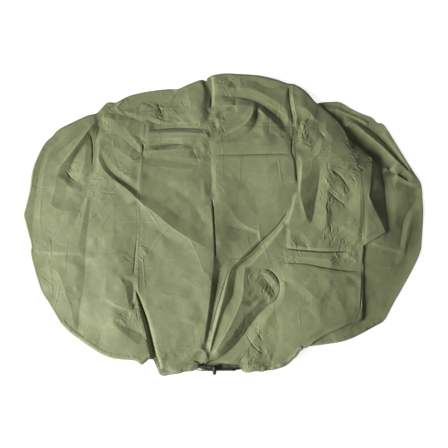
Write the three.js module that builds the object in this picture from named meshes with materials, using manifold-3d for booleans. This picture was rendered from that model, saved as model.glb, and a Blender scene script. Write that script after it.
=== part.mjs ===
// A drawstring cover for a small gas grill, taken off the grill and laid flat on a table.
// Its top points to +Y and its open mouth to -Y. The front lies above the back, with air between them,
// and the two sides spread out as rounded lobes, each folded along the outline.
// Units are millimetres. +Z is up, and the origin is at the middle of the base.
import * as THREE from "three";
import { mergeVertices } from "three/addons/utils/BufferGeometryUtils.js";
import Module from "manifold-3d";

const wasm = await Module();
wasm.setup();

// ---- driving dimensions ----
const GAP = 0.35; // clearance between pieces that touch
const SKIN = 2.2; // the cloth, modelled thicker than it is so that it collides
const FLOOR_SKIN = 2.2;
const FOLD_WALL = 4; // the rolled fold along the outline
const EDGE_HEIGHT = 23; // height of the folds along the outline
const CROWN_RISE = 46; // how much higher the middle of the front puffs up
const CROWN_REACH = 170; // distance from the outline over which it rises
const MOUTH_LIFT = 14; // how far the middle of the front hem stands up
const MOUTH_LIFT_REACH = 500;
const CELL = 56; // grid of the puffed surface
const TAPE_WIDTH = 8; // binding tape over each seam
const TAPE_PROUD = 1.1;

const HEM_WIDTH = 24;
const HEM_HEIGHT = 8;
const HEM_BORE_WIDTH = 7;
const HEM_BORE_HEIGHT = 5;
const HEM_STEP = 34; // length of each straight piece of the hem
const HEM_GAP = 1.2; // from the casing to the panels' lower edges, wider so that its bends stay clear
const FOLD_STEPS = 6; // steps round the fold at each end of the mouth

const CORD_RADIUS = 1.75;
const CORD_SIDES = 6;
const TAIL_STEP = 6;
const KNOT_LENGTH = 13;
const KNOT_RADIUS = 5;
const KNOT_X = 32;

const LOCK_X = -34;
const LOCK_Y = -532;
const LOCK_Z = 16.2;
const LOCK_TRAVEL = 3.5; // how far the button presses in
const BARREL_RADIUS = 7.5;
const BARREL_WALL = 1.8;
const BARREL_MOUTH = -10.5; // along the lock's own Y, which the button presses along
const BARREL_END = 14.2;
const PLUNGER_END = 5.9;
const HEAD_RADIUS = 6.9;
const HEAD_THICKNESS = 3;
const SPRING_RADIUS = 3.7;
const SPRING_WIRE = 0.4;
const SPRING_TURNS = 4;
const ROUND = 24; // facets round the lock

const FAR = 900; // beyond every edge of the cover

// ---- outlines, as points that a smooth curve passes through ----
// The fold round the sides and top, from the left end of the mouth clockwise to its right end.
const FOLD_POINTS = [
  [-604, -322], [-661, -262], [-708, -94], [-726, 33], [-704, 159], [-668, 280], [-614, 340],
  [-541, 384], [-425, 443], [-342, 474], [-197, 496], [-45, 530], [92, 547], [255, 507],
  [338, 452], [436, 436], [545, 380], [635, 286], [708, 160], [726, 33], [718, -94], [650, -239],
  [592, -316],
];
// The middle of the front hem and of the back hem, from the left end of the mouth to its right end.
const FRONT_HEM_POINTS = [
  [-590, -352], [-541, -388], [-414, -470], [-320, -494], [-262, -502], [-223, -534], [-185, -517],
  [-140, -500], [0, -496], [110, -503], [165, -518], [226, -498], [288, -446], [346, -430],
  [454, -408], [527, -372], [575, -345],
];
const BACK_HEM_POINTS = [
  [-590, -352], [-541, -388], [-414, -468], [-310, -492], [-223, -515], [-100, -528], [0, -530],
  [100, -526], [165, -515], [226, -490], [288, -442], [346, -428], [454, -406], [527, -372],
  [575, -345],
];
// Where the front and back hems meet the side hems.
const SPLIT_FRONT_LEFT = -262;
const SPLIT_BACK_LEFT = -440;
const SPLIT_RIGHT = 288;
const SPLIT_HEIGHT = 12; // between the two layers of the hem

// Seams of the box shape. The back lies further left than the front, because the cover is laid askew.
const FRONT_SEAMS = {
  left: [[-262, -560], [-262, -500], [-290, -400], [-306, -250], [-306, 100], [-300, 372]],
  right: [
    [288, -560], [296, -455], [355, -410], [450, -365], [490, -300], [498, -150], [498, 60],
    [478, 220], [410, 320], [320, 372],
  ],
  top: [[-300, 372], [-194, 355], [-52, 373], [90, 350], [237, 345], [320, 372]],
};
const BACK_SEAMS = {
  left: [[-440, -560], [-440, -460], [-465, -250], [-482, 0], [-485, 200], [-480, 345]],
  right: [[288, -560], [288, -460], [304, -250], [318, 0], [322, 200], [318, 362]],
  top: [[-480, 345], [-300, 362], [-50, 370], [150, 362], [318, 362]],
};
// The seams into the two top corners cross the fold here, from the joining point outwards.
const LEFT_CROSSING = [[-405, 428], [-450, 500]];
const RIGHT_CROSSING = [[334, 432], [348, 520]];

// ---- small tools ----
const smooth = (t) => THREE.MathUtils.smoothstep(t, 0, 1);

function curvePoints(points, step) {
  const curve = new THREE.CatmullRomCurve3(
    points.map(([x, y, z = 0]) => new THREE.Vector3(x, y, z)),
    false,
    "centripetal",
  );
  return curve.getSpacedPoints(Math.ceil(curve.getLength() / step));
}

function solid(geometry) {
  const bare = geometry.clone();
  bare.deleteAttribute("normal");
  bare.deleteAttribute("uv");
  const merged = mergeVertices(bare, 1e-4);
  return new wasm.Manifold(
    new wasm.Mesh({
      numProp: 3,
      vertProperties: merged.attributes.position.array,
      triVerts: new Uint32Array(merged.index.array),
    }),
  );
}

function geometryOf(manifold) {
  const mesh = manifold.getMesh();
  const geometry = new THREE.BufferGeometry();
  geometry.setAttribute("position", new THREE.BufferAttribute(mesh.vertProperties, 3));
  geometry.setIndex(new THREE.BufferAttribute(mesh.triVerts, 1));
  const flat = geometry.toNonIndexed();
  flat.computeVertexNormals();
  return flat;
}

// A tall prism over a closed outline.
function prism(outline) {
  const shape = new THREE.Shape(outline.map((p) => new THREE.Vector2(p.x, p.y)));
  const geometry = new THREE.ExtrudeGeometry(shape, { depth: FAR, bevelEnabled: false });
  geometry.translate(0, 0, -FAR / 2);
  return solid(geometry);
}

// The direction to the right of an open line's travel, at each of its points.
function rightOf(line) {
  return line.map((point, i) => {
    const before = line[Math.max(i - 1, 0)];
    const after = line[Math.min(i + 1, line.length - 1)];
    const along = after.clone().sub(before);
    return new THREE.Vector3(along.y, -along.x, 0).normalize();
  });
}

function offsetLine(line, distance) {
  const sides = rightOf(line);
  return line.map((point, i) => point.clone().addScaledVector(sides[i], distance));
}

function ribbon(points, width) {
  const line = curvePoints(points, CELL);
  return prism([...offsetLine(line, -width / 2), ...offsetLine(line, width / 2).reverse()]);
}

// ---- the puffed shape ----
const foldLine = curvePoints(FOLD_POINTS, CELL);
const frontHemLine = curvePoints(FRONT_HEM_POINTS, HEM_STEP);
const backHemLine = curvePoints(BACK_HEM_POINTS, HEM_STEP);
const frontEdge = offsetLine(frontHemLine, -(HEM_WIDTH / 2 + HEM_GAP));
const backEdge = offsetLine(backHemLine, -(HEM_WIDTH / 2 + HEM_GAP));
const frontOutline = [...foldLine, ...frontEdge.slice().reverse()];
const backOutline = [...foldLine, ...backEdge.slice().reverse()];

function distanceToOutline(x, y) {
  const here = new THREE.Vector3(x, y, 0);
  const nearest = new THREE.Vector3();
  let least = Infinity;
  frontOutline.forEach((from, i) => {
    const to = frontOutline[(i + 1) % frontOutline.length];
    new THREE.Line3(from, to).closestPointToPoint(here, true, nearest);
    least = Math.min(least, nearest.distanceTo(here));
  });
  return least;
}

function topHeight(x, y) {
  const across = Math.min(Math.abs(x) / MOUTH_LIFT_REACH, 1);
  const lift = MOUTH_LIFT * Math.cos((across * Math.PI) / 2) ** 2 * smooth(-y / MOUTH_LIFT_REACH);
  const inwards = distanceToOutline(x, y) / CROWN_REACH;
  return EDGE_HEIGHT + lift + CROWN_RISE * (1 - Math.exp(-inwards * inwards));
}

// A block over the whole cover, its upper side shaped by topHeight plus a rise.
function puffedBlock(rise, base) {
  const width = 2 * Math.ceil(740 / CELL) * CELL;
  const depth = 2 * Math.ceil(560 / CELL) * CELL;
  const block = new THREE.BoxGeometry(width, depth, 2, width / CELL, depth / CELL, 1);
  const at = block.attributes.position;
  for (let i = 0; i < at.count; i++) {
    const top = at.getZ(i) > 0;
    at.setZ(i, top ? topHeight(at.getX(i), at.getY(i)) + rise : base);
  }
  return solid(block);
}

// The inside of the cover: open at the mouth, closed by the fold everywhere else.
function insideOutline() {
  const pastTheMouth = offsetLine(frontHemLine, 60).reverse();
  return [...offsetLine(foldLine, FOLD_WALL), ...pastTheMouth];
}

// The upper cloth with the fold round its outline. Proud adds thickness.
function upperCloth(proud) {
  const inside = puffedBlock(-SKIN, -FAR / 2).intersect(prism(insideOutline()));
  return puffedBlock(proud, 0).intersect(prism(frontOutline)).subtract(inside);
}

// The cloth that lies on the table.
function lowerCloth(proud) {
  const slab = new THREE.BoxGeometry(2 * FAR, 2 * FAR, FLOOR_SKIN + proud);
  slab.translate(0, 0, (FLOOR_SKIN + proud) / 2);
  return solid(slab).intersect(prism(backOutline));
}

// ---- cloth panels and the tapes over their seams ----
const corner = (x, y) => new THREE.Vector3(x, y, 0);

function withoutRepeats(points) {
  return points.filter((p, i) => i === 0 || p.distanceTo(points[i - 1]) > 0.01);
}

// The outlines, seen from above, of the panels that one layer of cloth is made of.
function regions(seams) {
  const left = curvePoints(seams.left, CELL);
  const right = curvePoints(seams.right, CELL);
  const top = curvePoints(seams.top, CELL);
  const [leftJoin, leftOut] = LEFT_CROSSING.map(([x, y]) => corner(x, y));
  const [rightJoin, rightOut] = RIGHT_CROSSING.map(([x, y]) => corner(x, y));
  const outlines = {
    middle: [...left, ...top, ...right.slice().reverse()],
    left: [...left, leftJoin, leftOut, corner(-450, FAR), corner(-FAR, FAR), corner(-FAR, -FAR)],
    right: [...right, rightJoin, rightOut, corner(350, FAR), corner(FAR, FAR), corner(FAR, -FAR)],
    top: [...top, rightJoin, rightOut, corner(350, FAR), corner(-450, FAR), leftOut, leftJoin],
  };
  Object.keys(outlines).forEach((name) => {
    outlines[name] = prism(withoutRepeats(outlines[name]));
  });
  return outlines;
}

// The strips along one layer's seams. A corner's strip runs from the panels' corner over the fold.
function strips(seams, width) {
  const leftCorner = ribbon([seams.top[0], LEFT_CROSSING[0]], width);
  const rightCorner = ribbon([seams.top.at(-1), RIGHT_CROSSING[0]], width);
  return {
    left: ribbon(seams.left, width),
    right: ribbon(seams.right, width),
    top: ribbon(seams.top, width),
    leftCorner: leftCorner.add(ribbon(LEFT_CROSSING, width)),
    rightCorner: rightCorner.add(ribbon(RIGHT_CROSSING, width)),
  };
}

function layerPanels(cloth, seams) {
  const open = Object.values(strips(seams, TAPE_WIDTH + 2 * GAP)).reduce(
    (rest, strip) => rest.subtract(strip),
    cloth,
  );
  const areas = regions(seams);
  const piece = (name) => open.intersect(areas[name]);
  return { middle: piece("middle"), left: piece("left"), right: piece("right"), top: piece("top") };
}

// Each strip's tape stops where it meets the strips before it.
function layerTapes(cloth, seams) {
  const wide = strips(seams, TAPE_WIDTH + 2 * GAP);
  const tapes = {};
  let rest = cloth;
  Object.entries(strips(seams, TAPE_WIDTH)).forEach(([name, strip]) => {
    tapes[name] = rest.intersect(strip);
    rest = rest.subtract(wide[name]);
  });
  return tapes;
}

function largest(manifold) {
  return manifold.decompose().sort((a, b) => b.volume() - a.volume())[0];
}

function panels() {
  const upper = layerPanels(upperCloth(0), FRONT_SEAMS);
  const lower = layerPanels(lowerCloth(0), BACK_SEAMS);
  return {
    front_panel: largest(upper.middle),
    back_panel: largest(lower.middle),
    left_side_panel: largest(upper.left.add(lower.left)),
    right_side_panel: largest(upper.right.add(lower.right)),
    top_panel: largest(upper.top.add(lower.top)),
  };
}

function seamTapes() {
  const upper = layerTapes(upperCloth(TAPE_PROUD), FRONT_SEAMS);
  const lower = layerTapes(lowerCloth(TAPE_PROUD), BACK_SEAMS);
  return {
    front_left_seam_tape: largest(upper.left),
    front_right_seam_tape: largest(upper.right),
    front_top_seam_tape: largest(upper.top),
    back_left_seam_tape: largest(lower.left),
    back_right_seam_tape: largest(lower.right),
    back_top_seam_tape: largest(lower.top),
    left_top_seam_tape: largest(upper.leftCorner.add(lower.leftCorner)),
    right_top_seam_tape: largest(upper.rightCorner.add(lower.rightCorner)),
  };
}

// ---- the hem: a casing round the mouth, with the drawcord inside it ----
// A station is a point on the route and the level direction away from the cover.
function hemStations(line, heightAt) {
  const outwards = rightOf(line);
  return line.map((p, i) => ({
    at: new THREE.Vector3(p.x, p.y, heightAt(p, outwards[i])),
    out: outwards[i],
  }));
}

const BACK_HEM_Z = HEM_HEIGHT / 2;
const frontHemZ = (p, out) => {
  const seam = p.clone().addScaledVector(out, -HEM_WIDTH / 2);
  return topHeight(seam.x, seam.y) - SKIN / 2;
};

const frontStations = hemStations(frontHemLine, frontHemZ);
const backStations = hemStations(backHemLine, () => BACK_HEM_Z);

// The hem folds over at each end of the mouth, from one layer to the other.
function foldStations(from, to, along) {
  const middle = from.at.clone().lerp(to.at, 0.5);
  const radius = from.at.distanceTo(to.at) / 2;
  const up = Math.sign(from.at.z - to.at.z);
  return Array.from({ length: FOLD_STEPS - 1 }, (_, i) => {
    const angle = (Math.PI * (i + 1)) / FOLD_STEPS;
    const at = middle.clone().addScaledVector(along, radius * Math.sin(angle));
    at.z += up * radius * Math.cos(angle);
    return { at, out: from.out };
  });
}

function leaving(stations, last) {
  const [a, b] = last ? stations.slice(-2) : [stations[1], stations[0]];
  return new THREE.Vector3(b.at.x - a.at.x, b.at.y - a.at.y, 0).normalize();
}

const rightFold = foldStations(frontStations.at(-1), backStations.at(-1), leaving(frontStations, true));
const leftFold = foldStations(backStations[0], frontStations[0], leaving(backStations, false));

const SECTION = [
  [12, -1.5], [12, 1.5], [9.5, 4], [-9.5, 4], [-12, 1.5], [-12, -1.5], [-9.5, -4], [9.5, -4],
].map(([u, v]) => new THREE.Vector2((u * HEM_WIDTH) / 24, (v * HEM_HEIGHT) / 8));
const BORE = [0, 1, 2, 3, 4, 5].map((i) => {
  const angle = (i * Math.PI) / 3;
  const [u, v] = [Math.cos(angle) / 2, Math.sin(angle) / Math.sqrt(3)];
  return new THREE.Vector2(u * HEM_BORE_WIDTH, v * HEM_BORE_HEIGHT);
});

function frames(stations, ring) {
  const count = stations.length;
  return stations.map(({ at, out }, i) => {
    const before = stations[ring ? (i + count - 1) % count : Math.max(i - 1, 0)].at;
    const after = stations[ring ? (i + 1) % count : Math.min(i + 1, count - 1)].at;
    const along = after.clone().sub(before).normalize();
    const side = out.clone().addScaledVector(along, -out.dot(along)).normalize();
    return { at, side, up: along.clone().cross(side) };
  });
}

// A closed solid: a section carried along the stations, with a bore through it if one is given.
// A ring runs on from its last station to its first, and has no ends.
function sweep(stations, section, bore = [], ring = false) {
  const outline = [...section, ...bore];
  const places = frames(stations, ring);
  const positions = places.flatMap(({ at, side, up }) =>
    outline.flatMap((p) => at.clone().addScaledVector(side, p.x).addScaledVector(up, p.y).toArray()),
  );
  const faces = [];
  const wall = (first, count, turned) => {
    for (let i = 0; i < places.length - (ring ? 0 : 1); i++) {
      const here = i * outline.length + first;
      const next = ((i + 1) % places.length) * outline.length + first;
      for (let j = 0; j < count; j++) {
        const k = (j + 1) % count;
        const [a, b, c, d] = [here + j, here + k, next + k, next + j];
        faces.push(...(turned ? [a, c, b, a, d, c] : [a, b, c, a, c, d]));
      }
    }
  };
  wall(0, section.length, false);
  if (bore.length) wall(section.length, bore.length, true);
  const last = positions.length / 3 - outline.length;
  const ends = ring ? [] : THREE.ShapeUtils.triangulateShape(section, bore.length ? [bore] : []);
  ends.forEach(([a, b, c]) => faces.push(a, c, b, last + a, last + b, last + c));
  const geometry = new THREE.BufferGeometry();
  geometry.setAttribute("position", new THREE.Float32BufferAttribute(positions, 3));
  geometry.setIndex(faces);
  return geometry;
}

// One ring of casing round the whole mouth, parted where the side seams meet it.
function hemCasings() {
  const loop = [...frontStations, ...rightFold, ...backStations.slice().reverse(), ...leftFold];
  const ring = solid(sweep(loop, SECTION, BORE, true));
  const block = (fromX, toX, fromZ, toZ) => {
    const box = new THREE.BoxGeometry(toX - fromX, 2 * FAR, toZ - fromZ);
    box.translate((fromX + toX) / 2, 0, (fromZ + toZ) / 2);
    return solid(box);
  };
  const upper = (from, to) => block(from + GAP / 2, to - GAP / 2, SPLIT_HEIGHT, FAR);
  const lower = (from, to) => block(from + GAP / 2, to - GAP / 2, -FAR, SPLIT_HEIGHT);
  const front = ring.intersect(upper(SPLIT_FRONT_LEFT, SPLIT_RIGHT));
  const left = upper(-FAR, SPLIT_FRONT_LEFT).add(lower(-FAR, SPLIT_BACK_LEFT));
  const right = upper(SPLIT_RIGHT, FAR).add(lower(SPLIT_RIGHT, FAR));
  return {
    front_hem_casing: SLITS.reduce((casing, slit) => casing.subtract(slitCutter(slit)), front),
    back_hem_casing: ring.intersect(lower(SPLIT_BACK_LEFT, SPLIT_RIGHT)),
    left_hem_casing: ring.intersect(left),
    right_hem_casing: ring.intersect(right),
  };
}

// ---- where the cord comes out: two slits in the outer edge of the front casing ----
const SLITS = [
  { from: -148, to: -100 },
  { from: -84, to: -35 },
];

function onFrontHem(x) {
  const distances = frontStations.map(({ at }) => Math.abs(at.x - x));
  return frontStations[distances.indexOf(Math.min(...distances))].at;
}

function slitCutter({ from, to }) {
  const middle = onFrontHem((from + to) / 2);
  const cutter = new THREE.BoxGeometry(to - from, HEM_WIDTH, HEM_BORE_HEIGHT + 0.8);
  cutter.translate((from + to) / 2, middle.y - HEM_WIDTH / 2, middle.z);
  return solid(cutter);
}

const TAIL_LEFT_Y = LOCK_Y - CORD_RADIUS - 0.3;
const TAIL_RIGHT_Y = LOCK_Y + CORD_RADIUS + 0.3;
const MOUTH_Z = onFrontHem(-90).z;
const leftOfSlits = frontStations.filter(({ at }) => at.x < SLITS[0].from + 4);
const rightOfSlits = frontStations.filter(({ at }) => at.x > SLITS[1].to - 4);

// From the knot, through the lock, and into the left slit.
const LEFT_TAIL = [
  [KNOT_X + 12, TAIL_LEFT_Y, LOCK_Z], [0, TAIL_LEFT_Y, LOCK_Z], [LOCK_X, TAIL_LEFT_Y, LOCK_Z],
  [-62, TAIL_LEFT_Y, LOCK_Z], [-82, TAIL_LEFT_Y, LOCK_Z + 2], [-98, -529, LOCK_Z + 7],
  [-111, -520, MOUTH_Z - 5], [-123, -511, MOUTH_Z - 0.6], [-135, -504, MOUTH_Z],
  leftOfSlits.at(-1).at.toArray(),
];
// Out of the right slit, doubled back, and through the lock to the knot.
const RIGHT_TAIL = [
  rightOfSlits[0].at.toArray(), [-51, -498, MOUTH_Z], [-61, -503, MOUTH_Z],
  [-68, -511, MOUTH_Z - 0.8],
  [-71, -519, MOUTH_Z - 7], [-67, -526, MOUTH_Z - 13], [-58, TAIL_RIGHT_Y, LOCK_Z + 1.5],
  [-48, TAIL_RIGHT_Y, LOCK_Z], [LOCK_X, TAIL_RIGHT_Y, LOCK_Z], [0, TAIL_RIGHT_Y, LOCK_Z],
  [KNOT_X + 12, TAIL_RIGHT_Y, LOCK_Z],
];

function tailStations(points) {
  const line = curvePoints(points, TAIL_STEP);
  return rightOf(line).map((side, i) => ({ at: line[i], out: side.negate() }));
}

function drawcord() {
  const loop = [
    ...leftOfSlits.slice(0, -1).reverse(),
    ...leftFold.slice().reverse(),
    ...backStations,
    ...rightFold.slice().reverse(),
    ...rightOfSlits.slice(1).reverse(),
  ];
  const route = [...tailStations(LEFT_TAIL), ...loop, ...tailStations(RIGHT_TAIL)];
  const circle = Array.from({ length: CORD_SIDES }, (_, i) => {
    const angle = (2 * Math.PI * i) / CORD_SIDES;
    return new THREE.Vector2(Math.cos(angle), Math.sin(angle)).multiplyScalar(CORD_RADIUS);
  });
  const knot = new THREE.SphereGeometry(KNOT_RADIUS, 12, 8);
  knot.scale(KNOT_LENGTH / 2 / KNOT_RADIUS, 1, 0.9);
  knot.translate(KNOT_X, LOCK_Y, LOCK_Z);
  return solid(sweep(carried(route), circle)).add(solid(knot));
}

// The same stations with each side direction carried on from the one before it, free of twist.
function carried(stations) {
  const result = [];
  let side = stations[0].out;
  stations.forEach(({ at }, i) => {
    const before = stations[Math.max(i - 1, 0)].at;
    const after = stations[Math.min(i + 1, stations.length - 1)].at;
    const along = after.clone().sub(before).normalize();
    side = side.clone().addScaledVector(along, -side.dot(along)).normalize();
    result.push({ at, out: side });
  });
  return result;
}

// ---- the cord lock, drawn about its own middle, its button towards -Y ----
const CORD_SPREAD = 2 * CORD_RADIUS + 0.3; // how far the two cords reach from the lock's middle
const SLOT_HEIGHT = 2 * CORD_RADIUS + 1.2;
const STEM_RADIUS = BARREL_RADIUS - BARREL_WALL - GAP;

function turned(profile) {
  const points = profile.map(([r, y]) => new THREE.Vector2(r, y));
  return solid(new THREE.LatheGeometry(points, ROUND));
}

function crossSlot(from, to) {
  const slot = new THREE.BoxGeometry(4 * BARREL_RADIUS, to - from, SLOT_HEIGHT);
  slot.translate(0, (from + to) / 2, 0);
  return solid(slot);
}

function lockBarrel() {
  const bore = BARREL_RADIUS - BARREL_WALL;
  const cup = turned([
    [0, BARREL_END - BARREL_WALL], [bore, BARREL_END - BARREL_WALL], [bore, BARREL_MOUTH],
    [BARREL_RADIUS - 0.5, BARREL_MOUTH], [BARREL_RADIUS, BARREL_MOUTH + 0.7],
    [BARREL_RADIUS, BARREL_END - 2], [BARREL_RADIUS - 2, BARREL_END], [0, BARREL_END],
  ]);
  return cup.subtract(crossSlot(-CORD_SPREAD - 0.5, CORD_SPREAD + 0.5));
}

function lockPlunger() {
  const head = BARREL_MOUTH - LOCK_TRAVEL - GAP;
  const stem = turned([
    [0, head - HEAD_THICKNESS], [HEAD_RADIUS - 1, head - HEAD_THICKNESS],
    [HEAD_RADIUS, head - HEAD_THICKNESS + 1], [HEAD_RADIUS, head], [STEM_RADIUS, head],
    [STEM_RADIUS, PLUNGER_END], [0, PLUNGER_END],
  ]);
  return stem.subtract(crossSlot(-CORD_SPREAD - GAP - LOCK_TRAVEL, CORD_SPREAD + GAP));
}

function lockSpring() {
  const from = PLUNGER_END + SPRING_WIRE + GAP;
  const to = BARREL_END - BARREL_WALL - SPRING_WIRE - GAP;
  const steps = SPRING_TURNS * 10;
  const stations = Array.from({ length: steps + 1 }, (_, i) => {
    const angle = (2 * Math.PI * SPRING_TURNS * i) / steps;
    const out = new THREE.Vector3(Math.cos(angle), 0, Math.sin(angle));
    const at = out.clone().multiplyScalar(SPRING_RADIUS);
    at.y = THREE.MathUtils.lerp(from, to, i / steps);
    return { at, out };
  });
  const wire = [0, 1, 2, 3, 4].map((i) => {
    const angle = (2 * Math.PI * i) / 5;
    return new THREE.Vector2(Math.cos(angle), Math.sin(angle)).multiplyScalar(SPRING_WIRE);
  });
  return solid(sweep(stations, wire));
}

// ---- assembly ----
const material = (color, roughness, metalness = 0) =>
  new THREE.MeshStandardMaterial({ color, roughness, metalness });
const MATERIALS = {
  cloth: material(0x8a9468, 0.5),
  tape: material(0x6f784f, 0.6),
  cord: material(0x2c2e22, 0.8),
  plastic: material(0x1d1f18, 0.45),
  steel: material(0xb4b6b8, 0.3, 1),
};

function groupOf(solids, materialName) {
  const group = new THREE.Group();
  Object.entries(solids).forEach(([name, manifold]) => {
    const mesh = new THREE.Mesh(geometryOf(manifold), MATERIALS[materialName]);
    mesh.name = name;
    group.add(mesh);
  });
  return group;
}

const cordLock = new THREE.Group();
cordLock.add(groupOf({ cord_lock_barrel: lockBarrel(), cord_lock_button: lockPlunger() }, "plastic"));
cordLock.add(groupOf({ cord_lock_spring: lockSpring() }, "steel"));
cordLock.position.set(LOCK_X, LOCK_Y, LOCK_Z);

const cover = new THREE.Group();
cover.add(groupOf(panels(), "cloth"));
cover.add(groupOf(seamTapes(), "tape"));
cover.add(groupOf(hemCasings(), "cloth"));
cover.add(groupOf({ drawcord: drawcord() }, "cord"));
cover.add(cordLock);

// The origin goes to the middle of the base.
const extent = new THREE.Box3().setFromObject(cover);
const middle = extent.getCenter(new THREE.Vector3());
cover.position.set(-middle.x, -middle.y, -extent.min.z);

export default cover;
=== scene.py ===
"""Looks of a grill cover that lies flat: five panels of coated polyester, taped seams, a gathered hem,
a drawcord and its cord lock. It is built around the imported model, in metres, +Y towards the cover's top."""

import math

import bpy
import numpy as np
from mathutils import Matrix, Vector
from mathutils.bvhtree import BVHTree
from mathutils.geometry import delaunay_2d_cdt
from mathutils.kdtree import KDTree


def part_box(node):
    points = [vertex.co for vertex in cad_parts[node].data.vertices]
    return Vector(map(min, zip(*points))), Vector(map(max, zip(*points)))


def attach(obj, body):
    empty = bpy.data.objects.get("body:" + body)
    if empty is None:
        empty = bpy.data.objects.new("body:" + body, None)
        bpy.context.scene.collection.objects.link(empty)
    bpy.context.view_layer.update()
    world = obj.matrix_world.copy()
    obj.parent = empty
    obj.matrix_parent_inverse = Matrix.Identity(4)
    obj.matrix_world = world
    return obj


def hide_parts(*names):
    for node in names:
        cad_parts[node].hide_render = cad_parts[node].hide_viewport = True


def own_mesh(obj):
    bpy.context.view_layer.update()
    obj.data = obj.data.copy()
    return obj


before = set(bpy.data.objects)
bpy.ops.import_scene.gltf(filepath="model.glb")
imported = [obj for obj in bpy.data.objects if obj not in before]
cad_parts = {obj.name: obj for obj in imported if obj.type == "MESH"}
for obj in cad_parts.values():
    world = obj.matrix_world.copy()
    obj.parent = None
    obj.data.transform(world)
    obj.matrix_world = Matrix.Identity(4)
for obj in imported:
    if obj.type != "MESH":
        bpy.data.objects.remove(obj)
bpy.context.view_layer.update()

CM = 0.01
MM = 0.001

# Driving sizes, in metres.
CELL = 0.0048  # spacing of the cloth's own mesh, away from its creases
FINE_CELL = 0.0026  # and beside them
EDGE_HEIGHT = 0.011  # where the upper layer turns over the fold round the outline
CROWN_RISE = 0.043  # how much higher the middle lies
CROWN_REACH = 0.135  # how far in from the outline it has nearly risen
FLOOR_GAP = 0.0012  # from the floor to the folds that lie on it
FRONT_LIFT = 0.002  # how far the front lies over the pile
LOBE_TUCK = 0.005  # and the right lobe under it
LOBE_GAP = 0.004  # between the lobe and the front over it
LEAST_LOBE = 0.004  # the lobe's own least height
EDGE_BAND = 0.03  # how near its right edge the front follows the lobe beneath
HIDDEN_REACH = 0.06  # how far under the front the lobe goes flat
LOWER_INSET = 0.009  # how far the lowest layer stays in from the outline
LOWER_CELL = 0.011  # the spacing of its mesh
SHALLOW_BELOW = 6 * MM  # a crease lower than this is shallow, and one of twice that height is deep
SHALLOW = 0.56  # how much of a shallow crease's height spreads over the facets beside it
DEEP = 0.88  # and of a deep one's
NARROW = 0.09  # and how much stands in its own sharp line
FOLD_REACH = 0.0036  # from a crease's sharp line to where it has run out
SLIT_REACH = 0.0042
WRINKLE_REACH = 0.0034
ROLL_ROWS = 9  # rows of faces round a fold on the outline
LEAST_ROLL, MOST_ROLL = 0.001, 0.013  # how tight and how wide such a fold may be
FLANGE = 0.012  # how far the cloth runs on beneath it
VALLEY_ROUNDS = 5  # how softly the cloth lies in its valleys
TAPE_WIDTH = 0.008
TAPE_RISE = 0.0005
STITCH_RISE = 0.0007
STITCH_OFFSET = 0.0027  # from the middle of a tape to each of its rows of stitches
MOUTH_HEM_WIDTH = 0.019


# ---------------------------------------------------------------- curves in the plane

def curve(points, step=0.6):
    """A smooth open line through the points, with even steps. Units are the caller's."""
    p = np.array(points, float)
    if len(p) > 2:
        p = np.vstack([2 * p[0] - p[1], p, 2 * p[-1] - p[-2]])
        t = np.linspace(0, 1, 9)[:-1, None]
        parts = []
        for a, b, c, d in zip(p[:-3], p[1:-2], p[2:-1], p[3:]):
            bend = (2 * a - 5 * b + 4 * c - d) * t ** 2 + (3 * b - a - 3 * c + d) * t ** 3
            parts.append(0.5 * (2 * b + (c - a) * t + bend))
        p = np.vstack(parts + [p[-2:-1]])
    return evenly(p, step)


def evenly(p, step):
    """The same line with points at even steps of its length in the plane."""
    run = np.concatenate([[0], np.cumsum(np.hypot(*np.diff(p[:, :2], axis=0).T))])
    count = max(2, int(round(run[-1] / step)) + 1)
    at = np.linspace(0, run[-1], count)
    return np.stack([np.interp(at, run, p[:, k]) for k in range(p.shape[1])], axis=1)


def nearest_on(line, xy):
    """For each point: signed distance to the line (left of its travel is positive) and how far along."""
    best = np.full(len(xy), 1e9)
    side = np.ones(len(xy))
    along = np.zeros(len(xy))
    start = 0.0
    for a, b in zip(line[:-1], line[1:]):
        d = b[:2] - a[:2]
        length = math.hypot(*d)
        if length < 1e-9:
            continue
        u = d / length
        rel = xy - a[:2]
        t = np.clip(rel @ u, 0, length)
        off = rel - t[:, None] * u
        dist = np.hypot(off[:, 0], off[:, 1])
        near = dist < best
        best = np.where(near, dist, best)
        side = np.where(near, np.sign(u[0] * rel[:, 1] - u[1] * rel[:, 0]), side)
        along = np.where(near, start + t, along)
        start += length
    return best * side, along, start


def inside(polygon, xy):
    """True for each point inside the closed polygon."""
    x, y = xy[:, 0], xy[:, 1]
    result = np.zeros(len(xy), bool)
    for (ax, ay), (bx, by) in zip(polygon, np.roll(polygon, -1, axis=0)):
        crosses = (ay > y) != (by > y)
        with np.errstate(divide="ignore", invalid="ignore"):
            cut = ax + (y - ay) * (bx - ax) / (by - ay)
        result ^= crosses & (x < cut)
    return result


def ease(t):
    t = np.clip(t, 0, 1)
    return t * t * (3 - 2 * t)


# ---------------------------------------------------------------- outline, in centimetres

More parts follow.
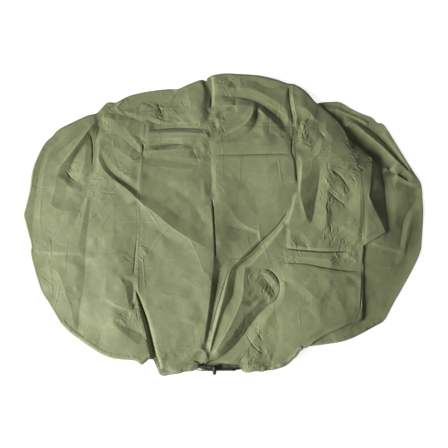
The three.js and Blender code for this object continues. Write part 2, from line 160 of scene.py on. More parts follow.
LEFT_EDGE = [
    (-59.5, -36.4), (-63.5, -29.5), (-66.8, -24), (-69.6, -15), (-70.6, -10), (-70.3, -8), (-71.8, -2),
    (-73, 3), (-72.4, 6), (-71, 12), (-69.8, 20), (-67.4, 26), (-65.2, 29.8), (-62.8, 32), (-60.3, 34.6),
    (-55, 37.3), (-50, 39.6), (-46.5, 40.6), (-43.2, 44), (-41.5, 44.5), (-39.5, 44.4), (-35, 46.7),
    (-30, 48), (-25, 48.8), (-20, 49.3), (-17, 49.3), (-13, 51), (-8.6, 52.6), (-6.4, 52.2),
]
TOP_EDGE = [
    (-6.2, 53.2), (-4.5, 54.2), (0, 55), (5, 54.8), (10, 54.5), (14, 54), (19, 52.8), (23, 51.4),
    (26, 50.9), (30, 48.3), (33, 44.6),
]
FRONT_RIGHT_EDGE = [
    (33, 44.6), (36, 42.2), (40, 38.5), (43, 35), (44.8, 31), (45.6, 27.3), (48, 26.4), (51, 25.2),
    (53.8, 23.8), (53.4, 19), (52.6, 13), (52.2, 9.6), (54.6, 5), (57, 0.5), (58.4, -3),
]
FRONT_LOWER_RIGHT = [
    (50.2, -8), (50.4, -17), (50.2, -26), (50.0, -34.6), (46, -36), (42, -37.8), (37, -40), (33, -42.3),
    (30, -44.6),
]
FRONT_MOUTH = [
    (30, -44.6), (28, -45.6), (25, -48.9), (22, -51.4), (17, -52.9), (11, -53.3), (8, -53.6), (6.2, -52.6),
    (5, -50.6), (0, -50.3), (-5, -50.4), (-9.3, -50.6), (-9.6, -52.4), (-14, -53.4), (-17.5, -54.1),
    (-22.4, -54.8), (-24.4, -52), (-26.2, -48.6), (-28.5, -50.2), (-30, -51.1), (-32.2, -49.6),
    (-37, -49.2), (-41, -48.6), (-45, -47), (-49, -44.6), (-53, -42), (-56.5, -39.4), (-59.5, -36.4),
]
BACK_MOUTH = [
    (57.8, -36), (54, -38), (50, -40.1), (46, -41.9), (42, -43), (36, -43.9), (30, -44.5), (26, -47.6),
    (22, -50.6), (16, -52.4), (8, -53.2), (0, -53.6), (-6, -53.8), (-10, -52.8), (-18, -52), (-26, -49.6),
    (-36, -48), (-45, -46), (-53, -41.2), (-59.5, -36),
]
RIGHT_EDGE = [
    (33, 43.6), (35, 44.3), (38, 44.6), (41.5, 44.7), (43.6, 44), (46, 42.5), (50, 40.5), (54, 39),
    (56, 37.1), (58, 36.6), (60, 34), (64, 27.5), (69, 19.5), (72, 14.6), (72.6, 9), (72.8, 3), (72.3, -6),
    (71.8, -10), (69.5, -15.5), (66, -22), (62, -29), (59.2, -34.3), (57.8, -36),
]
RIGHT_MOUTH = [(57.8, -36), (54, -38), (50, -40.1), (46, -41.9), (42, -43), (36, -43.9), (30, -44.5)]
RIGHT_TUCKED = [(26, -42), (33, -37), (41, -31), (42, -12), (44, 2), (44, 12), (40, 24), (34, 34), (29, 40)]

# ---------------------------------------------------------------- creases: x, y in centimetres, height in mm

FRONT_CREASES = [
    # the left lobe's raised lip and its valley
    [(-64.5, 28.6, -3), (-67, 20, -6), (-68.6, 10, -7), (-69.6, 2, -6), (-69.6, -4, -3)],
    [(-64, 25, 2), (-65.4, 18, 2), (-66.6, 8, 2), (-66.8, 0, 1), (-66, -5, 1)],
    [(-51, 37.6, 2), (-57, 32.4, 3), (-63, 27, 2)],
    [(-50.6, 35, -3), (-55, 31, -5), (-60.6, 26.6, -3)],
    [(-47, 37.4, 5), (-51.4, 31, 9), (-55.8, 25, 10), (-59.6, 20.6, 9)],
    [(-50, 30, -5), (-53.4, 25.2, -9), (-56, 19.6, -13), (-56, 16.2, -12)],
    [(-50, 26.6, 2), (-50.4, 22, 2), (-51.6, 18.4, 0)],
    [(-45.2, 39, -8), (-45.8, 34, -9), (-46.9, 30.6, -10), (-46.6, 26, -7), (-46.9, 20, -8), (-49, 17.4, -7),
     (-51.6, 15.9, -7), (-54.2, 14.9, -9)],
    [(-49.2, 33, -3), (-48, 31.6, -9)],
    [(-45.2, 30, 3), (-45, 25, 4), (-45, 20, 3), (-46.4, 16.6, 2)],
    [(-60.6, 17.4, 6), (-61.4, 12, 7), (-62.8, 7.7, 6)],
    [(-62.8, 7.2, 6), (-60.4, 5.4, 5), (-56, 4.4, 2)],
    [(-57, 15, -3), (-57.4, 10, -5), (-59.4, 7.4, -2)],
    [(-54, 0.2, -2), (-57.4, -2, -3), (-62, -6.4, -2)],
    # two long lines from the left node, and the deep valley down to the hem
    [(-48.2, 14.4, -5), (-50.4, 9, -7), (-52, 5, -6), (-53.2, 2, -5)],
    [(-47.4, 14, -3), (-48.2, 8, -4), (-48.8, 2, -5), (-49.5, -4, -5), (-50, -10, -6), (-50.4, -18, -6),
     (-51.2, -25, -5), (-52.6, -32, -6), (-53.2, -39.6, -8)],
    [(-49.3, 9, 1), (-50.6, 2, 2), (-51.8, -4, 2), (-53, -9, 1)],
    [(-40, 10, 2), (-39.6, 0, 2), (-40, -8, 2)],
    [(-42, -16, 3), (-42.6, -22, 2)],
    [(-69.6, -10.8, -2), (-65, -11.2, -4), (-60, -11.4, -4), (-55, -11.4, -4), (-51.4, -11.6, -5)],
    [(-68, -9.8, 1), (-62, -10.2, 2), (-55, -10.4, 2), (-52.4, -10.4, 1)],
    [(-64, -14.4, 0), (-59.8, -18, 4), (-57.6, -24, 5), (-55.8, -30, 4), (-54.6, -36, 0)],
    [(-44, 8, 2), (-40, 2.4, 1), (-38, -4, 0)],
    [(-45.6, -4, -1), (-45.4, -8, -4), (-46.4, -11.4, -3)],
    [(-43, -5, 1), (-42.4, -10, 2)],
    [(-49, -12.6, 3), (-44, -11.4, 4), (-38, -11, 3), (-33.4, -10.6, 2)],
    [(-45.2, -16, 0), (-45, -22, -2), (-45.4, -28, 0)],
    [(-42.6, -26.8, 3), (-38.4, -29.2, 6), (-33.8, -30.6, 6)],
    [(-41.4, -28.8, -3), (-37, -31.6, -7), (-34.4, -32.4, -7)],
    [(-40, -34.4, 3), (-35.4, -34.6, 2)],
    [(-38, -36, -4), (-33.4, -38, -7), (-29, -40, -7)],
    [(-37.6, -38.2, 3), (-34, -41, 4), (-30, -44, 4)],
    [(-38, -18.6, 4), (-35.6, -22, 5), (-34.8, -26, 5), (-34, -30, 5)],
    [(-37, -18.2, 2), (-33.4, -19.2, 0)],
    [(-36, -20, -4), (-33, -21, -7), (-32.5, -26, -8), (-32.6, -30, -6)],
    # the front's left edge, from the star node down to the gap
    [(-29.4, 23, 3), (-29.8, 16, 4), (-30.2, 10.4, 3)],
    [(-31, 20, -2), (-31.4, 14, -3)],
    [(-30.8, 7.6, -1), (-30.4, 2, -1), (-31, -5, -2), (-31.9, -12, -2), (-32.2, -18, -3)],
    [(-29.8, 5, 1), (-29.7, 0, 0), (-30, -6, 0), (-30.6, -12, 1), (-31, -20, 1), (-31, -23, 2)],
    # the flap and the gap beside it
    [(-31.8, -24.4, 2), (-33, -30.6, 2), (-34.6, -35, 0)],
    [(-31.4, -25, 3), (-30.4, -30, 4), (-29, -36, 4), (-28, -41, 4), (-26.8, -46, 4), (-26.6, -48, 3)],
    [(-31.2, -24.2, -6), (-29.6, -29, -16), (-27.6, -35, -20), (-26.2, -41, -22), (-24.8, -47, -22),
     (-23.4, -51, -20)],
    [(-30.8, -24.2, 2), (-29.1, -29, 2), (-27.1, -35, 1), (-25.7, -41, 1), (-24.3, -47, 1), (-22.9, -51, 2)],
    [(-35, -44.4, 2), (-33, -47.6, 1)],
    # the hem's knot of cloth and its gathers
    [(-10.8, -46.4, 3), (-9.4, -45.2, 6), (-7.4, -45.4, 6), (-6.2, -47.6, 4)],
    [(-9, -46.8, -3), (-8.2, -48.8, -5)],
    [(-5.4, -44.6, -4), (-5.5, -47.6, -9), (-5, -50, -9)],
    [(-11.2, -49.2, -6), (-8.8, -50.2, -9), (-6.2, -50.4, -8)],
    [(-20.4, -51.4, -3), (-15.4, -50.7, -4), (-11.4, -50.4, -5)],
    [(-18, -52.6, 4), (-14, -52, 4), (-11.4, -51.4, 3)],
    [(6.4, -49.8, -5), (7, -53, -5)],
    [(8.4, -49.2, 3), (8.8, -52.8, 3)],
    [(7.4, -50.6, -4), (11, -49.8, -5), (15.6, -49.8, -3)],
    [(12, -51.2, 3), (12.6, -53, 2)],
    [(17.4, -47.6, -4), (17.1, -52.8, -4)],
    # front, left half: seen from the hem upwards
    [(-19.6, -43, 1), (-17.2, -47, -5), (-15, -49.8, -6)],
    [(-15, -49.6, -6), (-12, -49.4, -5), (-10, -47.8, -5)],
    [(-10, -36, 4), (-8.6, -42, 4), (-8.4, -45, 4)],
    [(-14, -39, 1), (-12, -44, -1)],
    [(-20, -21, 2), (-15, -19, 3), (-9, -23, 3), (-5.6, -21.6, 4)],
    [(-29.4, -6.4, -2), (-26.6, -9.2, -4), (-24.8, -10.6, -3)],
    [(-29.6, -8.6, 2), (-27.4, -11, 2)],
    [(-29, -13.4, -1), (-24, -13.8, -2), (-18, -14.4, -1), (-9, -13.4, 0)],
    [(-30, -1.6, 2), (-24, -1.8, 0), (-20, -4.8, 1), (-15, -7, 2)],
    # the long diagonal fold
    [(-45.6, 24, 4), (-43.2, 19.5, 7), (-40, 16.4, 8), (-36, 13.4, 9), (-32.6, 10.6, 10), (-29.6, 7.6, 10),
     (-25, 4.2, 11), (-18, -1.6, 11), (-10, -6.6, 9), (-5.6, -8.9, 5)],
    [(-44.2, 25, -3), (-41.8, 20.4, -6), (-38.8, 17.2, -8), (-35, 14.6, -9), (-31.4, 12, -6)],
    [(-42, 25, 0), (-39, 20.8, 1), (-35.6, 17.6, 1), (-31.8, 15.6, 0)],
    [(-39.6, 24.4, 1), (-37.6, 23.6, 0)],
    [(-37.4, 21.6, -1), (-35.2, 21, -1)],
    [(-8.6, 14, -2), (-8.4, 9, -3), (-6.8, 7.4, -2)],
    [(-7.4, 15, 1), (-7, 10, 1)],
    [(-8.6, 6, -4), (-7.4, 0, -5)],
    # the star node on the left, and the ridges that run right from it
    [(-44, 32.6, 0), (-38.4, 32.4, -3), (-34, 28.6, -6), (-30.4, 25.6, -5)],
    [(-37, 36, 3), (-33, 31.4, 4), (-29.6, 27.4, 3)],
    [(-37.4, 26.4, 4), (-33.4, 23.4, 4), (-30.6, 21.6, 3)],
    [(-31, 31.6, -1), (-29.3, 29.2, -5), (-28.9, 27, -6)],
    [(-28.7, 26.6, -5), (-29.7, 23.8, -3)],
    [(-27.6, 31, 3), (-27, 34.6, 2)],
    [(-27, 27.3, -7), (-22, 27.9, -12), (-18, 28.8, -12), (-14.4, 28.7, -6)],
    [(-25.6, 26.2, 4), (-20, 26.6, 8), (-15.4, 26.8, 7), (-10, 26.6, 3)],
    [(-26.4, 30.4, 4), (-20, 30.8, 6), (-14, 31, 6), (-5.6, 31, 4)],
    [(-26, 34.2, -6), (-18, 34.5, -10), (-12, 34.4, -9), (-6, 34.2, -6)],
    [(-25, 32.4, 7), (-16, 32.8, 11), (-6, 32.2, 8)],
    [(-27.6, 23.6, -4), (-22, 23, -6), (-15, 21.8, -3), (-8, 21, -2)],
    [(-24, 25, 1), (-16, 24, 3), (-8, 23, 3)],
    [(-26, 20.6, 3), (-19, 20, 2), (-12, 19.4, 2)],
    [(-11.4, 27.6, -3), (-10, 24.6, -6), (-6.4, 25.4, -6)],
    [(-9.6, 30, 0), (-9, 27, -1)],
    [(-8, 29, 4), (-7, 26.8, 4)],
    # the upper left: folds that fan out from the knot
    [(-43, 40.4, -3), (-40, 40.2, -5), (-36, 39.5, -5), (-33, 38.6, -6), (-30, 37, -7), (-28.2, 37.6, -5),
     (-25, 36.5, -7), (-22, 35.6, -5)],
    [(-38.4, 41.6, 1), (-33.4, 40.2, 2), (-29, 38.8, 2), (-25, 37.8, 2), (-20, 36.6, 2), (-14, 36.8, 1)],
    [(-44, 39, 4), (-40, 37.8, 5), (-35, 37.4, 4)],
    [(-43.4, 40.8, 2), (-41.4, 42.8, 3)],
    [(-42, 41.4, -4), (-39.4, 43.4, -5)],
    [(-40.8, 42.4, 4), (-37, 44.4, 3)],
    [(-37.6, 42.6, -4), (-33.6, 43.6, -7), (-30, 45.2, -9)],
    [(-36.4, 45.8, -3), (-32, 45.7, -5), (-29.8, 45.4, -8)],
    [(-35, 44.8, 3), (-32, 44.8, 2)],
    [(-29.6, 45.8, -6), (-27, 47.5, -3)],
    [(-33.8, 41.2, -2), (-31, 43, -4)],
    [(-30, 43.2, 4), (-27, 42, 5), (-25, 40.6, 4)],
    [(-24, 47.6, -4), (-24, 44.4, -5), (-22.4, 41.6, -4), (-22, 39, -3)],
    [(-22.6, 46, 3), (-20.8, 43.4, -4)],
    [(-19.6, 45.6, 2), (-17.6, 48.2, 4)],
    [(-19.8, 42.6, -3), (-18, 45, -3)],
    [(-20.6, 48.4, -5), (-25, 47.8, -4)],
    [(-15.4, 46, -3), (-15, 42, -2)],
    [(-13, 47, 2), (-12, 42, 3), (-13, 39, 3)],
    # the notch at the top and the node below it
    [(-10.2, 43, 4), (-7.8, 40.6, 0), (-5.4, 38, -7)],
    [(-10, 43.6, 4), (-7.6, 43.8, 2)],
    [(-6.2, 42, -7), (-5.4, 39.6, -10)],
    [(-8.4, 51.6, 3), (-7.2, 48.6, 3), (-7.4, 44.6, 3)],
    [(-5.2, 52, -15), (-4.9, 49, -15), (-4.6, 45, -12), (-4.9, 41.6, -7)],
    [(-3.9, 52.6, 2), (-3.5, 48.8, 1), (-3.7, 44, 0)],
    [(-4.6, 37.8, 1), (-3.4, 36.4, -7), (-2.6, 34, -5)],
    [(-3, 39.6, 3), (-2.4, 37.8, 4)],
    [(-5, 36.6, -2), (-5.4, 33, -4)],
    # the centre line
    [(-5.2, 31, 0), (-5.4, 28.6, -5), (-5, 26, -4)],
    [(-4.4, 28.4, -4), (-4.7, 24, -5), (-4.8, 20, -8), (-4.4, 15, -8), (-4.6, 11, -7)],
    [(-3.2, 19, 0), (-3, 14, 1)],
    [(-4.0, 9.4, -4), (-3.6, 5, -5), (-3.3, 0, -5), (-3, -6, -5), (-2.8, -12, -5)],
    [(-4.6, 6, 3), (-4.1, 0, 3), (-3.8, -6, 4), (-3.6, -12, 4), (-4.2, -18, 5), (-5, -26, 5), (-6, -34, 5),
     (-7.2, -42, 4)],
    [(-1.4, -15.6, -8), (-2, -20, -12), (-3.2, -27, -13), (-4.4, -34, -12), (-5.9, -41, -10),
     (-6.7, -45, -8)],
    [(1, -15.6, 0), (1.4, -19, 2), (0.4, -24, 4), (-1.4, -31, 5), (-3.2, -38, 5), (-5.2, -46, 4)],
    # gathers that fan up from the cord
    [(4.6, -15.8, -5), (3.8, -21, -9), (3, -26, -9), (0.6, -30, -7), (-1, -34.4, -7), (-3, -40.6, -8),
     (-4.6, -46, -7)],
    [(7.6, -15.6, 4), (7, -20, 7), (6.6, -26, 8), (4, -33, 9), (0.4, -40, 8), (-3, -46, 5)],
    [(19.8, -26.4, -4), (17, -28.8, -8), (13.6, -31.4, -12), (10.2, -35.6, -15), (6.4, -41, -16),
     (1.8, -46, -14),
     (-3, -49.4, -11)],
    [(12, -24.6, 1), (9.4, -26.8, 4)],
    [(19.2, -30, 0), (15.6, -34, 0), (12, -40, 0), (7.6, -45.6, -1), (3, -49.4, -2)],
    [(12.8, -38.6, -4), (14, -42, -5)],
    [(11.6, -43, -2), (14.8, -46.8, -6)],
    [(13, -45, 3), (11, -48.6, 2)],
    [(15, -45.6, 1), (16.8, -48, 0), (17.6, -51.4, 0)],
    # right of the centre line: grey facet, thin ridge, dark band
    [(-2, 8.6, 2), (1.6, 7, 4), (4, 2.4, 4), (8, -0.8, 5), (12.6, -2.8, 4)],
    [(-1, 0, -5), (5, -1.6, -6), (11.8, -3.8, -5)],
    [(-1.6, -6.6, 2), (4, -6, 2), (9, -6.2, 3)],
    [(0, -9, -2), (2, -13, -3)],
    [(13, -5.4, 5), (8.6, -9.6, 7), (4.6, -13.8, 6), (2.4, -16, 4)],
    [(24.8, 10.6, -5), (23.2, 4, -7), (20.4, -0.2, -8), (16, -4.6, -9), (12, -9.2, -10), (8, -13, -9),
     (5, -15.4, -6)],
    [(21.4, -0.6, 3), (19.2, -3.6, 4), (15.6, -8, 5), (11.8, -12.4, 4), (9.4, -14.8, 3)],
    [(25.8, 10.6, 3), (24.6, 5, 4), (23.2, 1.4, 3)],
    [(22.4, -1, -5), (22.2, -5, -6), (22.6, -8.4, -6)],
    [(23.6, -2, 2), (23.9, -6, 2)],
    [(26.6, -5, -4), (29.8, -8.4, -4)],
    [(21, -10.4, 1), (16, -13, 3), (9.6, -14.8, 4)],
    # the pocket loop
    [(9.4, -16, -4), (14.4, -16.1, -6), (17.2, -17.2, -6), (19.4, -20, -6), (20, -24, -6), (18.8, -27.4, -5)],
    [(12, -17.6, 3), (16, -18.2, 4), (18.4, -21, 4)],
    [(13.8, -18.6, -6), (16.4, -22, -9), (18.4, -25, -8)],
    [(11, -20, 0), (14, -23.4, 2), (16.6, -26, 3)],
    [(10, -28, -6), (13.4, -26.4, -6), (17, -27, -2)],
    [(21.4, -17, 1), (21.8, -22, 1), (21.4, -27, 1)],
    # the big smooth cell right of the centre line
    [(-3.6, 22.8, 2), (5, 23.3, 4), (15, 23.6, 4), (24.4, 23.8, 3)],
    [(-3, 24.6, -2), (5, 24.7, -3), (15, 25, -4), (24, 25, -3)],
    [(-2.6, 28.6, 2), (6, 29, 2), (14, 28, 2), (22, 28.4, 2)],
    [(-2, 18.6, 1), (3, 16.4, -3), (8.6, 15.6, -3), (12, 12, -3)],
    [(4, 19.4, 2), (14, 18, 3), (22, 18, 3)],
    [(10.6, 10, -2), (12, 5, -2)],
    [(9.6, 4.6, 2), (12.6, 2.6, 4), (14, 2, 3)],
    [(15.6, 13, -1), (17, 8, -1)],
    # folds above it
    [(-3.8, 29.6, 0), (0, 31.6, 4), (5, 34.4, 7), (8, 36.4, 9), (10.2, 39.4, 10), (10.7, 42.4, 7)],
    [(-2, 29.4, -2), (4, 30.6, -4), (8, 32.4, -6), (11, 35.4, -9), (12.1, 39, -10), (11.9, 43, -8)],
    [(-2.6, 32.6, -3), (2, 34.8, -4), (6, 37, -3)],
    [(-2, 36, 3), (4, 38.6, 3), (8.6, 41.6, 3)],
    [(-2.6, 39.4, -4), (0, 41, -6), (4, 42.8, -6)],
    [(-1.6, 42.4, 2), (2, 42.8, 4), (8.8, 42.4, 6), (12.6, 41.2, 6), (14.8, 39.4, 6), (17, 37.2, 5),
     (19.4, 34.8, 4),
     (21.4, 33, 2)],
    [(-1.4, 46.2, -6), (2, 46.2, -11), (6, 46, -13), (10, 45, -13), (13.4, 43.4, -13), (17.4, 40.4, -13),
     (20.6, 37.6, -12), (22, 34.6, -8)],
    [(-1.4, 47.6, -2), (2, 48, -4), (6, 48, -5), (10, 47.3, -5), (14, 45.4, -5), (18.8, 42.8, -5),
     (21.8, 39.9, -4)],
    [(-2.4, 48.4, 1), (1, 49, 3), (5, 49.4, 4), (10, 48.8, 4), (14.6, 46.8, 4), (19.2, 44.2, 3),
     (22.4, 41.2, 3),
     (23.2, 37.6, 2)],
    [(-1, 54, -3), (2.6, 52, -5), (4.6, 49.4, -3)],
    [(2.4, 52.4, 3), (0.8, 49.6, 3)],
    [(3.2, 51.8, -4), (2.8, 50.4, -4)],
    [(6, 52.4, 2), (10, 52, -2), (12, 51.6, -4), (15, 50, -4), (19, 49, -2)],
    [(12, 53.4, 3), (18, 51.4, 3)],
    [(16, 33, -1), (20.6, 31.6, -3), (24.6, 33.6, -3)],
    [(14.4, 37, 1), (17, 34, 2), (21.6, 30.4, 3)],
    [(23.4, 50, -6), (23.8, 46, -8), (24.1, 42, -7), (25.2, 37.4, -6), (25.8, 33.4, -7)],
    [(22.4, 48, 3), (22.4, 44, 2)],
    [(25, 46, 3), (25.2, 43.4, 3)],
    [(25, 42.1, 4), (28, 42.4, 6), (31, 40.4, 6), (33.6, 37.2, 4)],
    [(26.6, 40.4, -2), (30, 38.4, -4), (32.6, 37, -3)],
    [(30, 46, -4), (30.4, 43.6, -4)],
    # the double line right of the big cell
    [(24.9, 31.6, -5), (24.4, 25.4, -5)],
    [(25.6, 28.6, -5), (26, 22, -7), (26.4, 16, -7), (26.5, 12.6, -4)],
    [(24.9, 21, 2), (25.4, 15, 2)],
    [(27.3, 24, 3), (27.2, 23.4, 3)],
    [(27.8, 37.4, -5), (26.8, 33.6, -7), (26.6, 30.6, -6)],
    [(28.9, 37, 3), (28.2, 33, 4), (27.6, 29.6, 3)],
    [(26.2, 38.6, 3), (25.9, 35.6, 2)],
    # the dark diamond
    [(28, 22.8, 5), (27.6, 17.6, 7), (27.2, 13, 7), (27.4, 9.6, 6), (28.4, 6, 6), (29.6, 1.8, 4)],
    [(34.4, 19.6, -7), (33.8, 14, -13), (32.9, 8.6, -14), (32, 3, -11), (31, 0, -5)],
    [(36.8, 21, 0), (37.2, 14, 0), (36.8, 8, 0), (35.8, 2, 1), (33.6, -2.4, 1)],
    [(27, 7, 0), (28, 1, 2)],
    # between the diamond and the right edge
    [(34.2, 36.4, -3), (34.6, 33, -7), (36, 31, -5)],
    [(36.8, 38, 3), (36.6, 34.4, 5), (38, 31.6, 4)],
    [(33, 41.6, 3), (33.4, 38.6, 3)],
    [(34, 31, -4), (32, 27, -6), (31.4, 25, -4)],
    [(35, 29.8, 4), (34.4, 26.4, 5), (32.8, 24, 4)],
    [(37, 30, 2), (41, 28, 1), (45, 26.8, 2)],
    [(38, 26, 3), (42, 23, 3), (45, 19, 4), (48, 17, 4)],
    [(37.6, 20, 1), (40, 18.4, -5), (42, 16.8, -7), (44.4, 13.6, -6), (45.6, 10.6, -3)],
    [(37, 15.6, 4), (38.4, 12.6, 3)],
    [(37.4, 11.8, -3), (40, 9.4, -6), (43.8, 6.6, -5)],
    [(39.4, 15, 3), (42, 12.6, 4), (43.6, 9.8, 3)],
    [(36.4, 6.6, 3), (36.6, 2, 4), (35.6, -2, 3)],
    [(38.4, 6, -4), (38.6, 1, -5), (38, -4, -4)],
    [(41.6, 4, -2), (42, -2, -3)],
    [(46, 6, 2), (46.6, 0, 3)],
    [(48.6, 14, 3), (48.8, 4, 3), (48.2, -4, 3)],
    [(50.3, 8, -3), (50.1, 2, -4), (49.6, -6, -5)],
    [(51.6, 6, 0), (51.4, 0, 1), (51.2, -4, 1)],
    # the tuck
    [(23, -7.8, 2), (27, -8, 3), (32, -8.6, 3), (36, -8.8, 3), (41, -8.7, 2), (45.4, -8.6, 1)],
    [(23, -9.4, -2), (27, -9.7, -4), (32, -10.1, -5), (36, -10.3, -5), (41, -10.2, -4), (45.4, -9.9, -2)],
    [(24, -11.8, 3), (32, -12.2, 3), (38, -12.8, 3)],
    [(21.4, -13.6, -3), (25, -13.8, -5), (29, -14, -6), (35, -15.1, -7), (42, -16.1, -7), (49.8, -16.8, -6)],
    [(21.6, -12.4, 2), (21.8, -10, 1)],
    [(24, -15.4, 3), (30, -15.8, 3), (36, -17, 4), (43, -18, 4), (48.6, -18.8, 4)],
    [(41.4, -10.8, -2), (44.6, -13, -5), (48.6, -14.6, -4)],
    [(44.4, -11, 3), (47.6, -13, 3)],
    [(45.6, -7.4, -4), (48.6, -8.4, -4)],
    [(33.4, -7.6, -3), (34.4, -5.4, -3)],
    [(30.6, -6, 3), (28, -3, 3)],
    [(24.6, -0.6, -3), (27, -0.8, -2)],
    # the smooth lower right of the front
    [(20, -15, -1), (20.8, -19, -3), (22.6, -21.6, -4)],
    [(24.4, -19.6, 4), (28, -17.2, 4)],
    [(23.8, -22.4, -2), (27, -25, -4), (30.4, -28.8, -3)],
    [(27, -21.6, 3), (31, -24.8, 4), (34, -28, 2)],
    [(35, -22.6, -2), (37.2, -26, -4), (39, -28, -2)],
    [(37, -20, 3), (40, -23, 3)],
    [(31, -29.6, 2), (34, -34, 3), (36.6, -38, 2)],
    [(36, -31, -1), (38, -34.4, -2)],
    [(45.6, -19.6, -3), (47.6, -21, -3)],
    [(41, -27, 2), (44.6, -33, 3)],
    [(48.8, -20, 4), (48.9, -27, 5), (48.6, -33, 4)],
    [(17.8, -29.6, -2), (18.4, -36, -3), (18.6, -41, -1)],
    [(19.5, -31, -2), (19.3, -39, -3), (18.6, -47, -2)],
    [(21, -33, 0), (21, -42, 1)],
    [(24, -33, 1), (26, -40, 2)],
]

# Broad bends without a sharp line of their own.
SOFT_CREASES = [
    [(-28, 17.4, -3), (-22, 14.4, -6), (-15, 10.4, -8), (-10, 5.4, -8), (-7, 0, -7)],
    [(-26, 9.2, -1), (-19, 4.8, -2), (-12, 0, -3), (-7, -3.6, -3)],
    [(-26, 21, 0), (-18, 19, -1), (-9, 17, -2)],
    [(12.2, -28.4, 2), (9, -31.4, 5), (5.8, -36, 6), (2.2, -41, 6), (-1.8, -46, 4)],
]

LOBE_CREASES = [
    [(36, 43.2, -3), (41, 43, -5), (45, 41.2, -6), (50, 39, -6), (54.4, 36.8, -8)],
    [(37, 41.6, 2), (42, 41.2, 2), (47, 39.4, 2), (52, 37, 2)],
    [(40.4, 41.4, -3), (44, 40, -4), (48, 38, -6), (53.6, 34.4, -8), (58, 30.6, -8), (62, 26, -7),
     (67, 20, -6)],
    [(44.6, 35.8, 3), (46.4, 36.9, 6), (48.4, 35.9, 8), (52, 32.8, 9), (57, 28.8, 9), (62, 24, 9),
     (66, 20.4, 8),
     (69.8, 16.2, 5)],
    [(36.6, 41.4, -6), (40.6, 37.4, -11), (44, 33.4, -18), (47.6, 30, -24), (51, 27.4, -24),
     (54.6, 24.4, -22),
     (58.4, 21.4, -17), (62, 18.8, -12), (66.4, 16.4, -8)],
    [(59.6, 20.4, 4), (63, 18.2, 6), (67, 15.4, 6), (70.4, 14.2, 4)],
    [(55.8, 36.8, -4), (55.2, 34.6, -6)],
    [(59, 32.6, 2), (63, 27, 3), (68, 19.4, 3)],
    [(62.4, 15.4, -3), (66.4, 14.2, -6), (69.4, 12.9, -7), (71.6, 13.6, -4)],
    [(57, 22, -16), (58, 16, -17), (58.6, 10, -17), (59, 5, -14), (59.3, 1, -9), (59.4, -2.8, -5)],
    [(61, 17, -10), (62, 11, -8), (62, 5, -6), (61.6, 0, -4)],
    [(51, 23, 0), (51.4, 16, 6), (52.4, 9, 8), (54.6, 3, 6), (57.4, -3, 1)],
    [(70.4, 9, -3), (67.6, 5.4, -7), (65.4, 1, -9), (64.6, -4, -8), (63.8, -8, -6)],
    [(68.4, 3, -1), (66.8, -2, 0), (66, -7, 1), (65, -12, 1)],
    [(69.2, -2, -3), (67.2, -7, -5), (66.6, -12, -3)],
    [(51.6, -6, 1), (57, -8, 2), (62.6, -9.4, 2)],
    [(50.6, -7.6, -3), (56.4, -9.2, -3), (63, -11, -3)],
    [(51, -15, 3), (57, -15.5, 4), (63, -15.8, 3)],
    [(52, -20, -2), (56, -21.6, -2)],
    [(60, -22, 1), (57, -28, 2), (54, -33, 1)],
    [(40, -40, -2), (46, -37.8, -3), (49.4, -36.4, -4)],
]

# Narrow slits where the cloth is tucked in: x, y in centimetres, depth in millimetres.
SLITS = [
    [(22.4, -8.8, -3), (26, -9.3, -8), (30, -9.6, -10), (35, -10, -10), (40, -10, -9), (45, -9.8, -4)],
    [(-4.3, 9.4, -3), (-3.7, 5, -4), (-3.5, 0, -4), (-3.1, -6, -4), (-2.9, -12, -3)],
    [(-5.1, 53, -8), (-4.9, 49, -8), (-4.6, 45, -7), (-4.9, 41.6, -5)],
    [(-31.5, -24.2, -2), (-30, -29, -7), (-28, -35, -9), (-26.6, -41, -10), (-25.2, -47, -9)],
    [(24.6, 31.6, -3), (24.3, 26, -4), (25.6, 22, -3), (26.2, 15, -3)],
    [(23.6, 50, -2), (24, 44, -3), (25, 38, -3)],
    [(-29.2, 29.2, -3), (-29, 27, -4), (-29.6, 23.8, -2)],
    [(-10.8, -49.4, -4), (-8.6, -50.2, -6), (-6.4, -50.4, -5)],
    [(46, 26.6, -3), (48, 27.2, -6), (50.4, 26.8, -5)],
    [(14, -16, -2), (17, -17, -3), (19.5, -20, -4), (20, -24, -3), (18.6, -27.4, -3), (15, -29.6, -2)],
    [(50.2, -9, -2), (50, -16, -4), (49.7, -24, -4), (49.4, -31, -2)],
    [(2, -15.6, -1), (0, -22, -3), (-2.4, -30, -4), (-4.8, -39, -3)],
    [(-31.2, 6, -1), (-31, -2, -1), (-31.8, -10, -2), (-32.4, -18, -2)],
    [(-27, 28, -2), (-20, 28.6, -4), (-14.6, 28.9, -2)],
    [(-26, 34, -2), (-17, 34.6, -4), (-8, 34.2, -3)],
    [(-2, 24.8, -2), (8, 24.9, -3), (16, 25.1, -3), (23, 25.2, -2)],
    [(-48.6, 33, -2), (-47.6, 28, -4), (-47.4, 21, -3)],
    [(-57.6, 19.6, -2), (-55.6, 17, -4), (-53.2, 15.4, -2)],
    [(-56, 21.4, -2), (-54.6, 18.6, -3)],
    [(1.6, -12.4, -1), (8, -11.6, -3), (14, -5.8, -4), (19, -1, -4), (23, 4.6, -3)],
    [(21.6, -14, -2), (29, -14.3, -4), (36, -15.6, -4), (44, -16.8, -4), (49, -17, -2)],
    [(-44.6, 11.4, -1), (-38, 10.6, -2)],
    [(-34, 42.6, -2), (-31.6, 43.6, -4), (-29.8, 45.2, -3)],
    [(-25, 47, -2), (-23.8, 43, -4), (-22.4, 39.4, -3)],
    [(34.6, 33.6, -2), (36.4, 30.6, -4)],
    [(37.6, 20, -2), (41.4, 17.4, -4), (44.4, 13.8, -3)],
    [(37.6, 11.6, -2), (40.6, 9, -3), (43.6, 6.8, -3)],
    [(8, -40, -2), (11, -44.6, -3), (14.4, -47, -3)],
    [(11.6, -38.4, -2), (14, -42.4, -4)],
]

